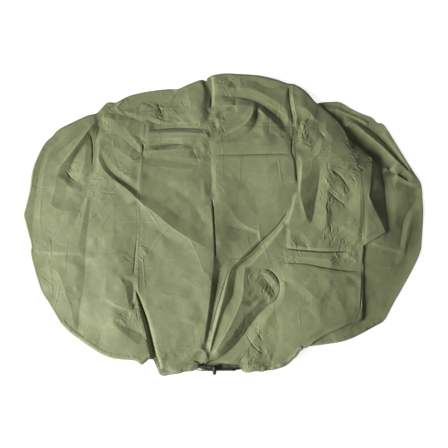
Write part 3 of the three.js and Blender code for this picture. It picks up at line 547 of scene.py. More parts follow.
# Where the cloth is rumpled: x, y and reach in centimetres, and how much.
RUMPLED = [
    (-20, 42, 7, 1.0), (-50, 15, 6, 0.7), (40, 13, 8, 1.0), (42, -6, 9, 0.9), (28, 34, 5, 1.0),
    (-29, 27, 5, 0.8), (-40, 41, 6, 0.8), (14, -22, 6, 0.8), (9, -40, 8, 0.7), (-33, -33, 6, 0.6),
    (48, 22, 5, 1.0), (-55, -26, 4, 0.5), (34, 28, 5, 0.8), (-42, 28, 5, 0.6), (24, -10, 5, 0.8),
    (-43, 13, 5, 0.8), (-4, 34, 6, 0.8), (12, -50, 7, 0.8), (-16, -51, 7, 0.7), (-37, 17, 5, 0.6),
    (-6, 22, 5, 0.5), (-31, -10, 5, 0.7), (-65, -7, 5, 0.5), (34, -24, 9, 0.4), (0, -20, 7, 0.4),
    (-48, -40, 7, 0.4), (3, 50, 5, 0.7), (-52, 2, 5, 0.5),
]

# Broad swells of the pile under the upper layer: x, y in centimetres, height in millimetres.
SWELLS = [
    (-72, 22, 11), (-66, 34, 3), (-73, 0, 8), (-70, -20, 4), (-60, -38, 4), (-46, -46, 0), (-30, -50, 4),
    (-20, -54, 2), (0, -53, 0), (20, -52, 0), (30, -45, 0), (48, -40, 0), (60, -34, 0), (70, -15, 0),
    (72, 5, 0), (68, 20, 0), (55, 36, 0), (35, 44, 6), (25, 51, 5), (0, 55, 0), (-10, 52, -1),
    (-40, 45, -6), (-56, 38, 2), (-58, 22, -5), (-60, 8, -3), (-60, -6, -2), (-63, -18, 8), (-58, -30, 7),
    (-48, 20, -5), (-48, 2, -6), (-50, -16, -10), (-46, -32, -7), (-40, -34, 3), (-40, 18, 2), (-40, 4, 0),
    (-40, -8, 0), (-35, -14, 3), (-31, 24, 2), (-31, 5, 1), (-30, -14, -4), (-27, -34, -5), (-20, 42, -6),
    (-30, 43, -9), (-18, 22, 1), (-18, 4, 6), (-17, -14, 7), (-16, -34, 1), (-12, -44, 2), (-10, 43, 9),
    (-4, 40, 2), (-4, 24, 1), (-4, 6, 9), (-4, -10, 18), (-5, -26, 17), (-7, -42, 8), (4, 38, 2),
    (6, 22, 2), (5, 4, -3), (5, -12, -2), (7, -28, -4), (9, -42, -13), (16, 24, 8), (16, 8, 3),
    (14, -10, -1), (18, -24, -8), (17, -33, -12), (19, -42, -8), (12, 42, 5), (24, 24, 12), (24, 8, 8),
    (24, -10, 0), (26, -26, -2), (28, -38, -3), (23, 41, -2), (31, 39.5, 21), (34, 32, 12), (34, 18, 8),
    (34, 2, 5), (34, -14, 3), (35, -28, -2), (44, 28, 20), (44, 17, 4), (44, 8, -4), (50, 12, 9),
    (50, 0, 5), (44, -10, -9), (44, -26, -6), (56, 24, -4), (56, 6, -4), (56, -12, -2), (56, -28, 0),
    (64, 14, 4), (66, 0, 9), (65, -10, 4), (48, 36, -2),
]

LEFT_SEAM = [(-26.2, -56), (-26.2, -50), (-29, -40), (-30.8, -25), (-30.6, 10), (-29.4, 24), (-29, 36.4)]
TOP_SEAM = [(-29, 36.4), (-19, 35), (-5, 36), (9, 35), (23.7, 34.5), (32, 36.4)]
RIGHT_SEAM = [(28.8, -56), (29.4, -46), (35.5, -41.2), (44.6, -36.6), (49, -30), (49.7, -15), (49.9, 6),
              (47.8, 21), (41, 31), (32, 36.4)]
LEFT_CROSSING = [(-29, 36.4), (-41, 41), (-46, 50)]
RIGHT_CROSSING = [(32, 36.4), (33.5, 42), (35, 52)]
LOWER_LEFT_SEAM = [(-44, -56), (-44, -46), (-46.5, -25), (-48.2, 0), (-48.5, 20), (-48, 34.5)]
LOWER_RIGHT_SEAM = [(28.8, -56), (28.8, -46), (30.4, -25), (31.8, 0), (32.2, 20), (31.8, 36.2)]
LOWER_TOP_SEAM = [(-48, 34.5), (-30, 36.2), (-5, 37), (15, 36.2), (31.8, 36.2)]


# ---------------------------------------------------------------- fields of height

def joined(first, second):
    """The straight line from the end of one line to the start of the next."""
    return [first[-1], second[0]]


def closed_outline(*parts):
    """A closed outline in metres from open lines in centimetres, each smoothed on its own."""
    return np.vstack([curve(part, 0.5)[:-1] for part in parts]) * CM


FIELD_HALF = (0.80, 0.64)  # the fields of height reach this far from the middle


def grid_lookup(values, spacing):
    """A lookup of height by interpolation in values on a square grid."""
    rows, columns = values.shape

    def lookup(xy):
        u = np.clip((xy[:, 0] + FIELD_HALF[0]) / spacing, 0, columns - 1.001)
        v = np.clip((xy[:, 1] + FIELD_HALF[1]) / spacing, 0, rows - 1.001)
        i, j = u.astype(int), v.astype(int)
        u, v = u - i, v - j
        low = values[j, i] * (1 - u) + values[j, i + 1] * u
        high = values[j + 1, i] * (1 - u) + values[j + 1, i + 1] * u
        return low * (1 - v) + high * v

    return lookup


def grid_axes(spacing):
    """The places of the grid's columns and rows."""
    x = np.arange(-FIELD_HALF[0], FIELD_HALF[0] + spacing, spacing)
    y = np.arange(-FIELD_HALF[1], FIELD_HALF[1] + spacing, spacing)
    return x, y


def smooth_field(field, spacing=0.01):
    x, y = grid_axes(spacing)
    grid_x, grid_y = np.meshgrid(x, y)
    values = field(np.column_stack([grid_x.ravel(), grid_y.ravel()]))
    return grid_lookup(values.reshape(grid_x.shape), spacing)


def facet_values(points, spacing=0.0025):
    """Flat facets through points (x, y, z), drawn onto a square grid: its heights and its spacing."""
    flat = [Vector(p) for p in points[:, :2].tolist()]
    verts, _edges, faces, origin, _e, _f = delaunay_2d_cdt(flat, [], [], 0, 1e-7)
    xy = np.array([(v[0], v[1]) for v in verts])
    z = np.array([points[o[0], 2] for o in origin])
    x_axis, y_axis = grid_axes(spacing)
    values = np.zeros((len(y_axis), len(x_axis)))
    corners = xy[np.array(faces)]
    low = np.floor((corners.min(1) + FIELD_HALF) / spacing).astype(int)
    high = np.ceil((corners.max(1) + FIELD_HALF) / spacing).astype(int) + 1
    low = np.maximum(low, 0)
    for (a, b, c), (i0, j0), (i1, j1) in zip(faces, low.tolist(), high.tolist()):
        x = x_axis[i0:i1]
        y = y_axis[j0:j1, None]
        (ax, ay), (bx, by), (cx, cy) = xy[a], xy[b], xy[c]
        area = (bx - ax) * (cy - ay) - (cx - ax) * (by - ay)
        if abs(area) < 1e-12 or not len(x) or not len(y):
            continue
        p = ((bx - x) * (cy - y) - (cx - x) * (by - y)) / area
        q = ((cx - x) * (ay - y) - (ax - x) * (cy - y)) / area
        r = 1 - p - q
        covered = (p > -1e-6) & (q > -1e-6) & (r > -1e-6)
        window = values[j0:j1, i0:i1]
        window[covered] = (p * z[a] + q * z[b] + r * z[c])[covered]
    return values, spacing


def lattice(spacing, jitter, seed):
    """Loose points in the plane on a jittered triangular lattice."""
    rng = np.random.default_rng(seed)
    rows = []
    for j, y in enumerate(np.arange(-FIELD_HALF[1], FIELD_HALF[1], spacing * 0.866)):
        x = np.arange(-FIELD_HALF[0], FIELD_HALF[0], spacing) + (spacing / 2 if j % 2 else 0)
        rows.append(np.stack([x, np.full(len(x), y)], axis=1))
    grid = np.vstack(rows)
    return grid + rng.uniform(-jitter, jitter, grid.shape) * spacing, rng


def facet_noise(spacing, seed):
    """A crumpled surface: flat facets between loose points with random heights from -1 to 1."""
    grid, rng = lattice(spacing, 0.38, seed)
    heights = rng.uniform(-1, 1, len(grid))
    return grid_lookup(*facet_values(np.column_stack([grid, heights]), max(0.0025, spacing / 10)))


def far_from(points, others, gap):
    """The points that lie further than gap from all the others."""
    tree = KDTree(len(others))
    for i, (x, y) in enumerate(others[:, :2].tolist()):
        tree.insert((x, y, 0), i)
    tree.balance()
    keep = [tree.find((x, y, 0))[2] > gap for x, y in points.tolist()]
    return points[np.array(keep)]


def crease_surface(creases, seed, spacing=0.045, loose=0.0016):
    """The surface through the listed creases, with loose points between them."""
    lines = [curve(c, 0.8) * np.array([CM, CM, MM]) for c in creases]
    for line in lines:
        depth = np.clip(np.abs(line[:, 2]) / SHALLOW_BELOW - 1, 0, 1)
        line[:, 2] *= SHALLOW + (DEEP - SHALLOW) * depth
    fixed = np.vstack(lines)
    grid, rng = lattice(spacing, 0.35, seed)
    free = far_from(grid, fixed, 0.45 * spacing)
    heights = rng.uniform(-loose, loose, len(free))
    values, spacing = facet_values(np.vstack([fixed, np.column_stack([free, heights])]))
    ridges = np.vstack([line for line in lines if line[:, 2].mean() > 0])
    return grid_lookup(rounded_valleys(values, ridges, spacing), spacing)


def blurred(values, rounds):
    """A grid's values evened out; the reach grows with the square root of the rounds."""
    for _ in range(rounds):
        values = (np.roll(values, 1, 0) + 2 * values + np.roll(values, -1, 0)) / 4
        values = (np.roll(values, 1, 1) + 2 * values + np.roll(values, -1, 1)) / 4
    return values


def rounded_valleys(values, ridges, spacing):
    """Cloth between its ridges hangs in a curve: every facet edge is rounded but those along the ridges."""
    columns = np.rint((ridges[:, 0] + FIELD_HALF[0]) / spacing).astype(int)
    rows = np.rint((ridges[:, 1] + FIELD_HALF[1]) / spacing).astype(int)
    marks = np.zeros(values.shape)
    marks[rows, columns] = 1.0
    crisp = np.clip(blurred(marks, 3) * 5.0, 0, 1)
    return crisp * values + (1 - crisp) * blurred(values, VALLEY_ROUNDS)


def pressed_lines(lines, half_width):
    """A height that adds a sharp narrow fold along each line (x, y, rise), fading out at its two ends."""
    fade = 0.012

    def lookup(xy):
        result = np.zeros(len(xy))
        for line in lines:
            low = line[:, :2].min(0) - half_width
            high = line[:, :2].max(0) + half_width
            near = np.flatnonzero(np.all((xy > low) & (xy < high), axis=1))
            if not len(near):
                continue
            distance, along, total = nearest_on(line, xy[near])
            run = np.linspace(0, total, len(line))
            rise = np.interp(along, run, line[:, 2]) * ease(along / fade) * ease((total - along) / fade)
            result[near] += rise * np.clip(1 - np.abs(distance) / half_width, 0, 1) ** 1.6
        return result

    return lookup


def bowed_line(rng, middle, heading, length, most_bow):
    """Three points of a slightly bowed line through a place, its length drawn from a range."""
    step = np.array([math.cos(heading), math.sin(heading)]) * rng.uniform(*length) / 2
    bow = np.array([-step[1], step[0]]) * rng.uniform(-most_bow, most_bow)
    return np.array([middle - step, middle + bow, middle + step])


def either_way(rng):
    """Up or down, drawn at random."""
    return 1 if rng.uniform() < 0.5 else -1


def stray_lines(spots, seed, length=(0.015, 0.045), rise=(0.0010, 0.0024)):
    """Short wrinkles round each rumpled spot (x, y, reach in centimetres, strength)."""
    rng = np.random.default_rng(seed)
    lines = []
    for x, y, reach, strength in spots:
        turn = rng.uniform(0, math.pi)
        for _ in range(int(3.4 * reach * strength) + 3):
            out = reach * math.sqrt(rng.uniform(0.02, 1))
            angle = rng.uniform(0, 2 * math.pi)
            middle = np.array([x + out * math.cos(angle), y + out * math.sin(angle)]) * CM
            bowed = bowed_line(rng, middle, turn + rng.normal(0, 0.5), length, 0.3)
            height = rng.uniform(*rise) * strength * either_way(rng)
            lines.append(evenly(np.column_stack([bowed, [height] * 3]), 0.004))
    return lines


def faint_lines(count, seed, length=(0.05, 0.16), rise=(0.0005, 0.0013)):
    """Long faint lines left by the packing, most of them along or across the cover."""
    rng = np.random.default_rng(seed)
    lines = []
    for _ in range(count):
        middle = rng.uniform((-0.68, -0.48), (0.68, 0.48))
        heading = rng.choice([0.0, 0.5, 0.5, 0.25, 0.75]) * math.pi + rng.normal(0, 0.16)
        bowed = bowed_line(rng, middle, heading, length, 0.12)
        height = rng.uniform(*rise) * either_way(rng)
        points = curve(bowed, 0.004)
        lines.append(np.column_stack([points, np.full(len(points), height)]))
    return lines


fold_line = np.vstack([curve(LEFT_EDGE), curve(TOP_EDGE), curve(RIGHT_EDGE)]) * CM


def crown_height(xy):
    """Height of the puffed upper layer over the floor, before its creases."""
    reach, _along, _total = nearest_on(fold_line[::3], xy)
    rise = CROWN_RISE * (1 - np.exp(-(reach / CROWN_REACH) ** 2))
    mouth = ease((xy[:, 1] + 0.56) / 0.30)
    return EDGE_HEIGHT + rise * (0.45 + 0.55 * mouth)


def swell_field(spacing=0.005):
    """A smooth surface through the broad swells."""
    points = np.array(SWELLS) * np.array([CM, CM, MM])
    values, spacing = facet_values(points, spacing)
    return grid_lookup(blurred(values, 26), spacing)


crown = smooth_field(crown_height)
swell = swell_field()


def narrow_folds(creases):
    """The sharp lines of the creases themselves, in metres."""
    return [curve(c, 0.6) * np.array([CM, CM, MM * NARROW]) for c in creases]


crumple_wide = facet_noise(0.070, 11)
crumple_fine = facet_noise(0.030, 12)
crumple_small = facet_noise(0.014, 13)
front_creases = crease_surface(FRONT_CREASES + SOFT_CREASES, 21)
lobe_creases = crease_surface(LOBE_CREASES, 22)
front_folds = pressed_lines(narrow_folds(FRONT_CREASES), FOLD_REACH)
lobe_folds = pressed_lines(narrow_folds(LOBE_CREASES), FOLD_REACH)
front_strays = stray_lines(RUMPLED, 31)
slit_lines = [curve(c, 0.5) * np.array([CM, CM, MM]) for c in SLITS]
front_slits = pressed_lines(slit_lines, SLIT_REACH)
packed_lines = faint_lines(90, 35)
front_wrinkles = pressed_lines(front_strays + packed_lines, WRINKLE_REACH)


def rumple(xy):
    """From 0 to 1, how rumpled the cloth is there."""
    result = np.zeros(len(xy))
    for x, y, reach, strength in RUMPLED:
        away = np.hypot(xy[:, 0] - x * CM, xy[:, 1] - y * CM) / (reach * CM)
        result = np.maximum(result, strength * ease(1.5 - away))
    return result


def crumple(xy, wide=0.0022, fine=0.0006):
    """The loose unevenness of the cloth, finer and stronger where it is rumpled."""
    rough = rumple(xy)
    small = (0.00022 + 0.0004 * rough) * crumple_small(xy)
    return wide * crumple_wide(xy) + (fine + 0.0010 * rough) * crumple_fine(xy) + small


front_right = (FRONT_RIGHT_EDGE, joined(FRONT_RIGHT_EDGE, FRONT_LOWER_RIGHT), FRONT_LOWER_RIGHT)
front_edge_line = np.vstack([curve(part) for part in front_right]) * CM
from_front_edge = smooth_field(lambda xy: nearest_on(front_edge_line, xy)[0], 0.005)


def lobe_height(xy):
    """Height of the right lobe, flatter where it lies hidden under the front."""
    height = crown(xy) + swell(xy) - LOBE_TUCK + lobe_creases(xy) + crumple(xy, 0.0012) + lobe_folds(xy)
    hidden = ease(-from_front_edge(xy) / HIDDEN_REACH)
    return np.maximum(height * (1 - 0.55 * hidden), LEAST_LOBE)


def front_height(xy):
    """Height of the front, the left lobe and the top's strip. Its right edge follows the lobe beneath it."""
    height = crown(xy) + swell(xy) + FRONT_LIFT + front_creases(xy) + crumple(xy)
    height += front_folds(xy) + front_wrinkles(xy) + front_slits(xy)
    near_edge = ease(1 - np.abs(from_front_edge(xy)) / EDGE_BAND)
    lowest = lobe_height(xy) + LOBE_GAP
    step = 0.006 + 0.012 * ease((xy[:, 1] - 0.10) / 0.15)
    return np.maximum(height, lowest) * (1 - near_edge) + np.clip(height, lowest, lowest + step) * near_edge


# ---------------------------------------------------------------- meshes

def new_object(name, verts, faces, smooth=True):
    """A mesh object in the scene, from points and faces."""
    mesh = bpy.data.meshes.new(name)
    mesh.from_pydata([tuple(v) for v in verts], [], [tuple(f) for f in faces])
    mesh.update()
    mesh.polygons.foreach_set("use_smooth", [smooth] * len(mesh.polygons))
    obj = bpy.data.objects.new(name, mesh)
    bpy.context.scene.collection.objects.link(obj)
    return obj


def unit(vectors):
    """The vectors with a length of one."""
    return vectors / np.maximum(np.linalg.norm(vectors, axis=1), 1e-12)[:, None]


def leftwards(points):
    """At each point of a line, the direction in the plane that points left of its travel."""
    ahead = unit(np.gradient(points[:, :2], axis=0))
    return np.column_stack([-ahead[:, 1], ahead[:, 0]])


def shifted(line, offset):
    """The line in the plane, moved left of its travel by offset."""
    return line[:, :2] + offset * leftwards(line)


def closed(loop):
    return np.vstack([loop, loop[:1]])


def signed_area(loop):
    ahead = np.roll(loop, -1, axis=0)
    return 0.5 * np.sum(loop[:, 0] * ahead[:, 1] - ahead[:, 0] * loop[:, 1])


def clockwise(loop):
    return loop[::-1] if signed_area(loop) > 0 else loop


def outward(loop):
    """The direction out of a closed loop at each of its points, evened out along it."""
    tangent = unit(np.roll(loop, -1, axis=0) - np.roll(loop, 1, axis=0))
    normal = np.stack([tangent[:, 1], -tangent[:, 0]], axis=1)
    if signed_area(loop) < 0:
        normal = -normal
    for _ in range(3):
        normal = unit(np.roll(normal, 1, axis=0) + 2 * normal + np.roll(normal, -1, axis=0))
    return normal


def strip_faces(rows, columns):
    """Faces between points that run row by row."""
    return [(i * columns + j, i * columns + j + 1, (i + 1) * columns + j + 1, (i + 1) * columns + j)
            for i in range(rows - 1) for j in range(columns - 1)]


def tube_faces(rings, around):
    """Faces between points that run ring by ring, with both ends closed."""
    faces = [(i * around + j, i * around + (j + 1) % around, (i + 1) * around + (j + 1) % around,
              (i + 1) * around + j) for i in range(rings - 1) for j in range(around)]
    faces.append(tuple(range(around))[::-1])
    faces.append(tuple(range((rings - 1) * around, rings * around)))
    return faces


def turned_over(faces):
    """The same faces, seen from their other side."""
    return [(face[0], *face[:0:-1]) for face in faces]


def filled(loop, grid):
    """Points and triangles of a sheet through a closed loop and the points inside it, the loop's first."""
    points = np.vstack([loop, grid])
    verts, _edges, faces, _o, _e, _f = delaunay_2d_cdt(
        [Vector(p) for p in points.tolist()], [], [list(range(len(loop)))], 1, 1e-7)
    assert len(verts) == len(points)
    return points, np.array(faces, int)


def thinned(points, spacing):
    """The points, the first of them in each small square of the plane."""
    keys = np.floor(points / spacing).astype(int)
    _k, first = np.unique(keys, axis=0, return_index=True)
    return points[np.sort(first)]


def points_beside(lines):
    """Points on each line and in rows beside it, so that the mesh follows its fold."""
    rows = []
    for offset in (0, 0.0019, -0.0019, 0.0040, -0.0040):
        for line in lines:
            rows.append(shifted(evenly(line[:, :2], FINE_CELL), offset))
    return thinned(np.vstack(rows), 0.0017)


def sheet_mesh(loop, lines):
    """Points and triangles that fill a closed loop, finer along the lines."""
    near = points_beside(lines)
    coarse, _rng = lattice(CELL, 0.12, 5)
    medium, _rng = lattice(CELL * 0.62, 0.12, 6)
    medium = medium[rumple(medium) > 0.35]
    grid = np.vstack([near, far_from(medium, near, CELL * 0.5)])
    grid = np.vstack([grid, far_from(coarse, grid, CELL * 0.62)])
    low, high = loop.min(0), loop.max(0)
    grid = grid[np.all((grid > low) & (grid < high), axis=1)]
    grid = grid[inside(loop, grid)]
    return filled(loop, far_from(grid, evenly(closed(loop), 0.002), 0.0024))


def rolled_sheet(loop, lines, height_of, underside_of, rolled):
    """A sheet over a closed outline. Where rolled is true its edge turns under, down to underside_of."""
    normal = outward(loop)
    thickness = height_of(loop) - underside_of(loop)
    radius = np.clip(thickness / 2, LEAST_ROLL, MOST_ROLL) * rolled
    for _ in range(6):
        radius = (np.roll(radius, 1) + 2 * radius + np.roll(radius, -1)) / 4
    base = loop - normal * radius[:, None]
    points, faces = sheet_mesh(base, lines)
    height = height_of(points)
    count = len(base)
    edge_top = height[:count]
    rows = [np.column_stack([points, height])]
    for k in range(1, ROLL_ROWS + 1):
        angle = math.pi * k / ROLL_ROWS
        xy = base + normal * (radius * math.sin(angle))[:, None]
        rows.append(np.column_stack([xy, edge_top - radius * (1 - math.cos(angle))]))
    rows.append(np.column_stack([base - normal * FLANGE, edge_top - 2 * radius]))
    quads = []
    keep = rolled & np.roll(rolled, -1)
    previous = np.arange(count)
    for k in range(ROLL_ROWS + 1):
        row = len(points) + k * count + np.arange(count)
        quads.append(np.stack([previous, row, np.roll(row, -1), np.roll(previous, -1)], axis=1)[keep])
        previous = row
    verts = np.vstack(rows)
    verts[:, 2] = np.maximum(verts[:, 2], FLOOR_GAP / 2)
    return verts, faces, np.vstack(quads)


def face_tuples(groups):
    """The faces of several arrays, in one list."""
    return [tuple(f) for group in groups for f in group.tolist()]


def point_normals(verts, faces):
    """Normals at the points of the whole sheet, so that it shades evenly over the seams."""
    total = np.zeros((len(verts), 3))
    for group in faces:
        a, b, c = verts[group[:, 0]], verts[group[:, 1]], verts[group[:, 2]]
        n = np.cross(b - a, c - a)
        for k in range(group.shape[1]):
            for axis in range(3):
                total[:, axis] += np.bincount(group[:, k], n[:, axis], len(verts))
    return unit(total)


def panel_parts(verts, faces, area_of, names):
    """One mesh with its normals for each panel: area_of gives each face's middle the number of its name."""
    normals = point_normals(verts, faces)
    all_faces = face_tuples(faces)
    middles = np.vstack([verts[group].mean(axis=1) for group in faces])
    which = area_of(middles[:, :2])
    result = {}
    for k, name in enumerate(names):
        chosen = [f for f, w in zip(all_faces, which) if w == k]
        used = sorted({i for f in chosen for i in f})
        index = {old: new for new, old in enumerate(used)}
        result[name] = (verts[used], [tuple(index[i] for i in f) for f in chosen], normals[used])
    return result


def clip_polygon(*parts):
    """A closed polygon in metres from open lines in centimetres."""
    return np.vstack([curve(part, 1.0) if len(part) > 2 else np.array(part, float) for part in parts]) * CM


def by_area(*polygons):
    """A test that gives each point the number of the first polygon it lies in, or one more than the last."""
    def which(xy):
        result = np.full(len(xy), len(polygons))
        for k in range(len(polygons) - 1, -1, -1):
            result[inside(polygons[k], xy)] = k
        return result

    return which


def merged(*parts):
    """One mesh of several: its verts, its faces and, where the parts have them, its normals."""
    verts, faces, start = [], [], 0
    for part in parts:
        verts.append(np.asarray(part[0]))
        faces += [tuple(i + start for i in f) for f in part[1]]
        start += len(part[0])
    together = (np.vstack(verts), faces)
    return (*together, np.vstack([part[2] for part in parts])) if len(parts[0]) > 2 else together


print("scene: fields ready", flush=True)


left_and_top = (LEFT_EDGE, joined(LEFT_EDGE, TOP_EDGE), TOP_EDGE)
lobe_lines = (RIGHT_EDGE, RIGHT_MOUTH, joined(RIGHT_MOUTH, RIGHT_TUCKED), RIGHT_TUCKED,
              joined(RIGHT_TUCKED, RIGHT_EDGE))
front_loop = clockwise(closed_outline(*left_and_top, *front_right, FRONT_MOUTH))
lobe_loop = clockwise(closed_outline(*lobe_lines))
lower_loop = clockwise(closed_outline(*left_and_top, RIGHT_EDGE, BACK_MOUTH))


def close_to(line, points, distance=0.004):
    """True for each point within distance of the line."""
    gap, _a, _t = nearest_on(line, points)
    return np.abs(gap) < distance


MOUTH_LEFT, MOUTH_RIGHT, MOUTH_TOP = -0.262, 0.288, -0.40  # where the front's edge ends in its hem
open_hem = (front_loop[:, 0] > MOUTH_LEFT) & (front_loop[:, 0] < MOUTH_RIGHT) & (front_loop[:, 1] < MOUTH_TOP)
front_rolled = ~open_hem
right_edge_line = curve(RIGHT_EDGE, 1.0) * CM
right_mouth_line = curve(RIGHT_MOUTH, 1.0) * CM
lobe_rolled = close_to(right_edge_line, lobe_loop) | close_to(right_mouth_line, lobe_loop)


def front_underside(xy):
    """What the front lies on: the lobe along its right edge, and the floor elsewhere."""
    over_lobe = close_to(front_edge_line, xy, 0.02)
    return np.where(over_lobe, lobe_height(xy) + 0.001, FLOOR_GAP)


def level(height):
    """A height that is the same everywhere."""
    return lambda xy: np.full(len(xy), height)


front_lines = narrow_folds(FRONT_CREASES) + front_strays + slit_lines + packed_lines
front_sheet = rolled_sheet(front_loop, front_lines, front_height, front_underside, front_rolled)
lobe_sheet = rolled_sheet(lobe_loop, narrow_folds(LOBE_CREASES), lobe_height, level(FLOOR_GAP), lobe_rolled)


def lower_sheet():
    """The layer that lies on the floor: nearly flat, with faint folds."""
    loop = lower_loop - LOWER_INSET * outward(lower_loop)
    grid, _rng = lattice(LOWER_CELL, 0.12, 8)
    grid = grid[inside(loop, grid)]
    points, faces = filled(loop, far_from(grid, evenly(closed(loop), 0.004), 0.006))
    height = 0.0011 + 0.0004 * crumple_wide(points)
    return np.column_stack([points, height]), faces


left_area = clip_polygon(LEFT_SEAM, LEFT_CROSSING[1:], [(-90, 60), (-90, -70), (-26.2, -70)])
front_area = clip_polygon(LEFT_SEAM, TOP_SEAM, RIGHT_SEAM[::-1])
top_area = clip_polygon(TOP_SEAM, RIGHT_CROSSING[1:], [(35, 70), (-46, 70)], LEFT_CROSSING[:0:-1])
upper_parts = panel_parts(front_sheet[0], front_sheet[1:], by_area(front_area, left_area, top_area),
                          ["front", "left", "top", "right"])
lobe_parts = panel_parts(lobe_sheet[0], lobe_sheet[1:], by_area(), ["right"])
back_area = clip_polygon(LOWER_LEFT_SEAM, LOWER_TOP_SEAM, LOWER_RIGHT_SEAM[::-1])
under_top = clip_polygon(LOWER_TOP_SEAM, [(31.8, 36.2), (35, 70), (-46, 70), (-48, 34.5)])
under_left = clip_polygon([(-90, -70), (-44, -70)], LOWER_LEFT_SEAM, [(-46, 70), (-90, 70)])
low_sheet = lower_sheet()
lower_parts = panel_parts(low_sheet[0], low_sheet[1:], by_area(back_area, under_top, under_left),
                          ["back", "top", "left", "right"])


def gusset():
    """The part of the top panel that lies folded inside, as two more layers below its front edge."""
    profile = [
        (0.545, 0.0045), (0.44, 0.0050), (0.335, 0.0060), (0.331, 0.0080), (0.335, 0.0100), (0.43, 0.0112),
        (0.505, 0.0124), (0.509, 0.0144), (0.505, 0.0164), (0.43, 0.0176), (0.335, 0.0184),
    ]
    rows = evenly(np.array(profile), 0.008)
    columns = np.arange(-0.34, 0.25, 0.012)
    edge_x, edge_y = np.array([p for p in LEFT_EDGE + TOP_EDGE if p[1] > 44]).T * CM
    far_y = np.interp(columns, edge_x, edge_y) - 0.035
    verts = []
    for x, top_y in zip(columns, far_y):
        for y, z in rows:
            verts.append((x, y - profile[0][0] + top_y, z))
    verts = np.array(verts)
    verts[:, 2] += 0.0006 * crumple_fine(verts[:, :2])
    share = np.minimum(1, (front_height(verts[:, :2]) - 0.004) / 0.0195)
    verts[:, 2] *= np.maximum(share, 0.3)
    faces = strip_faces(len(columns), len(rows))
    return verts, faces, point_normals(verts, [np.array(faces)])


# ---------------------------------------------------------------- materials

class Nodes:
    """Short calls for building a material's nodes."""

    def __init__(self, name):
        self.material = bpy.data.materials.new(name)
        self.material.use_nodes = True
        self.tree = self.material.node_tree
        self.shader = self.tree.nodes["Principled BSDF"]

    def add(self, kind, settings=None, **inputs):
        node = self.tree.nodes.new(kind)
        for key, value in (settings or {}).items():
            setattr(node, key, value)
        for key, value in inputs.items():
            self.feed(node.inputs[key.replace("_", " ")], value)
        return node

    def feed(self, socket, value):
        if isinstance(value, bpy.types.NodeSocket):
            self.tree.links.new(value, socket)
        else:
            socket.default_value = value

    def set(self, **values):
        """Sets or links the shader's own inputs."""
        for key, value in values.items():
            self.feed(self.shader.inputs[key.replace("_", " ")], value)

    def place(self):
        return self.add("ShaderNodeTexCoord").outputs["Object"]

    def noise(self, scale, detail=3.0):
        node = self.add("ShaderNodeTexNoise", Scale=scale, Detail=detail, Roughness=0.55, Vector=self.place())
        return node.outputs["Fac"]

    def creased(self, scale):
        """Rounded swellings with a sharp crease wherever they meet."""
        node = self.add("ShaderNodeTexNoise", Scale=scale, Detail=2.0, Roughness=0.5, Distortion=0.6,
                        Vector=self.place())
        return self.math("ABSOLUTE", self.math("SUBTRACT", node.outputs["Fac"], 0.5))

    def mark(self, name):
        """A value that the mesh carries at each of its points."""
        return self.add("ShaderNodeAttribute", {"attribute_name": name}).outputs["Fac"]

    def grey(self, value):
        return self.add("ShaderNodeCombineColor", Red=value, Green=value, Blue=value).outputs["Color"]

    def math(self, operation, *values):
        node = self.add("ShaderNodeMath", {"operation": operation})
        for socket, value in zip(node.inputs, values):
            self.feed(socket, value)
        return node.outputs[0]

    def spread(self, value, low, high, new_low, new_high):
        """Takes the range low to high to the range new_low to new_high."""
        node = self.add("ShaderNodeMapRange", Value=value, From_Min=low, From_Max=high, To_Min=new_low,
                        To_Max=new_high)
        return node.outputs["Result"]

    def mix(self, factor, a, b, blend="MIX"):
        node = self.add("ShaderNodeMix", {"data_type": "RGBA", "blend_type": blend})
        self.feed(node.inputs["Factor"], factor)
        self.feed(node.inputs["A"], a)
        self.feed(node.inputs["B"], b)
        return node.outputs["Result"]

    def bump(self, height, strength, distance):
        node = self.add("ShaderNodeBump", Height=height, Strength=strength, Distance=distance)
        return node.outputs["Normal"]

    def weave(self, period):
        """Threads over and under each other, with that distance between them."""
        place = self.place()
        scale = 2 * math.pi / (20 * period)
        across = self.add("ShaderNodeTexWave", {"bands_direction": "X"}, Vector=place, Scale=scale)
        along = self.add("ShaderNodeTexWave", {"bands_direction": "Y"}, Vector=place, Scale=scale)
        return self.math("MULTIPLY", across.outputs["Fac"], along.outputs["Fac"])


def rgba(colour, factor=1.0, more=0.0):
    """The colour for a socket, made brighter or darker by a factor."""
    return (*[min(1, c * factor + more) for c in colour], 1.0)


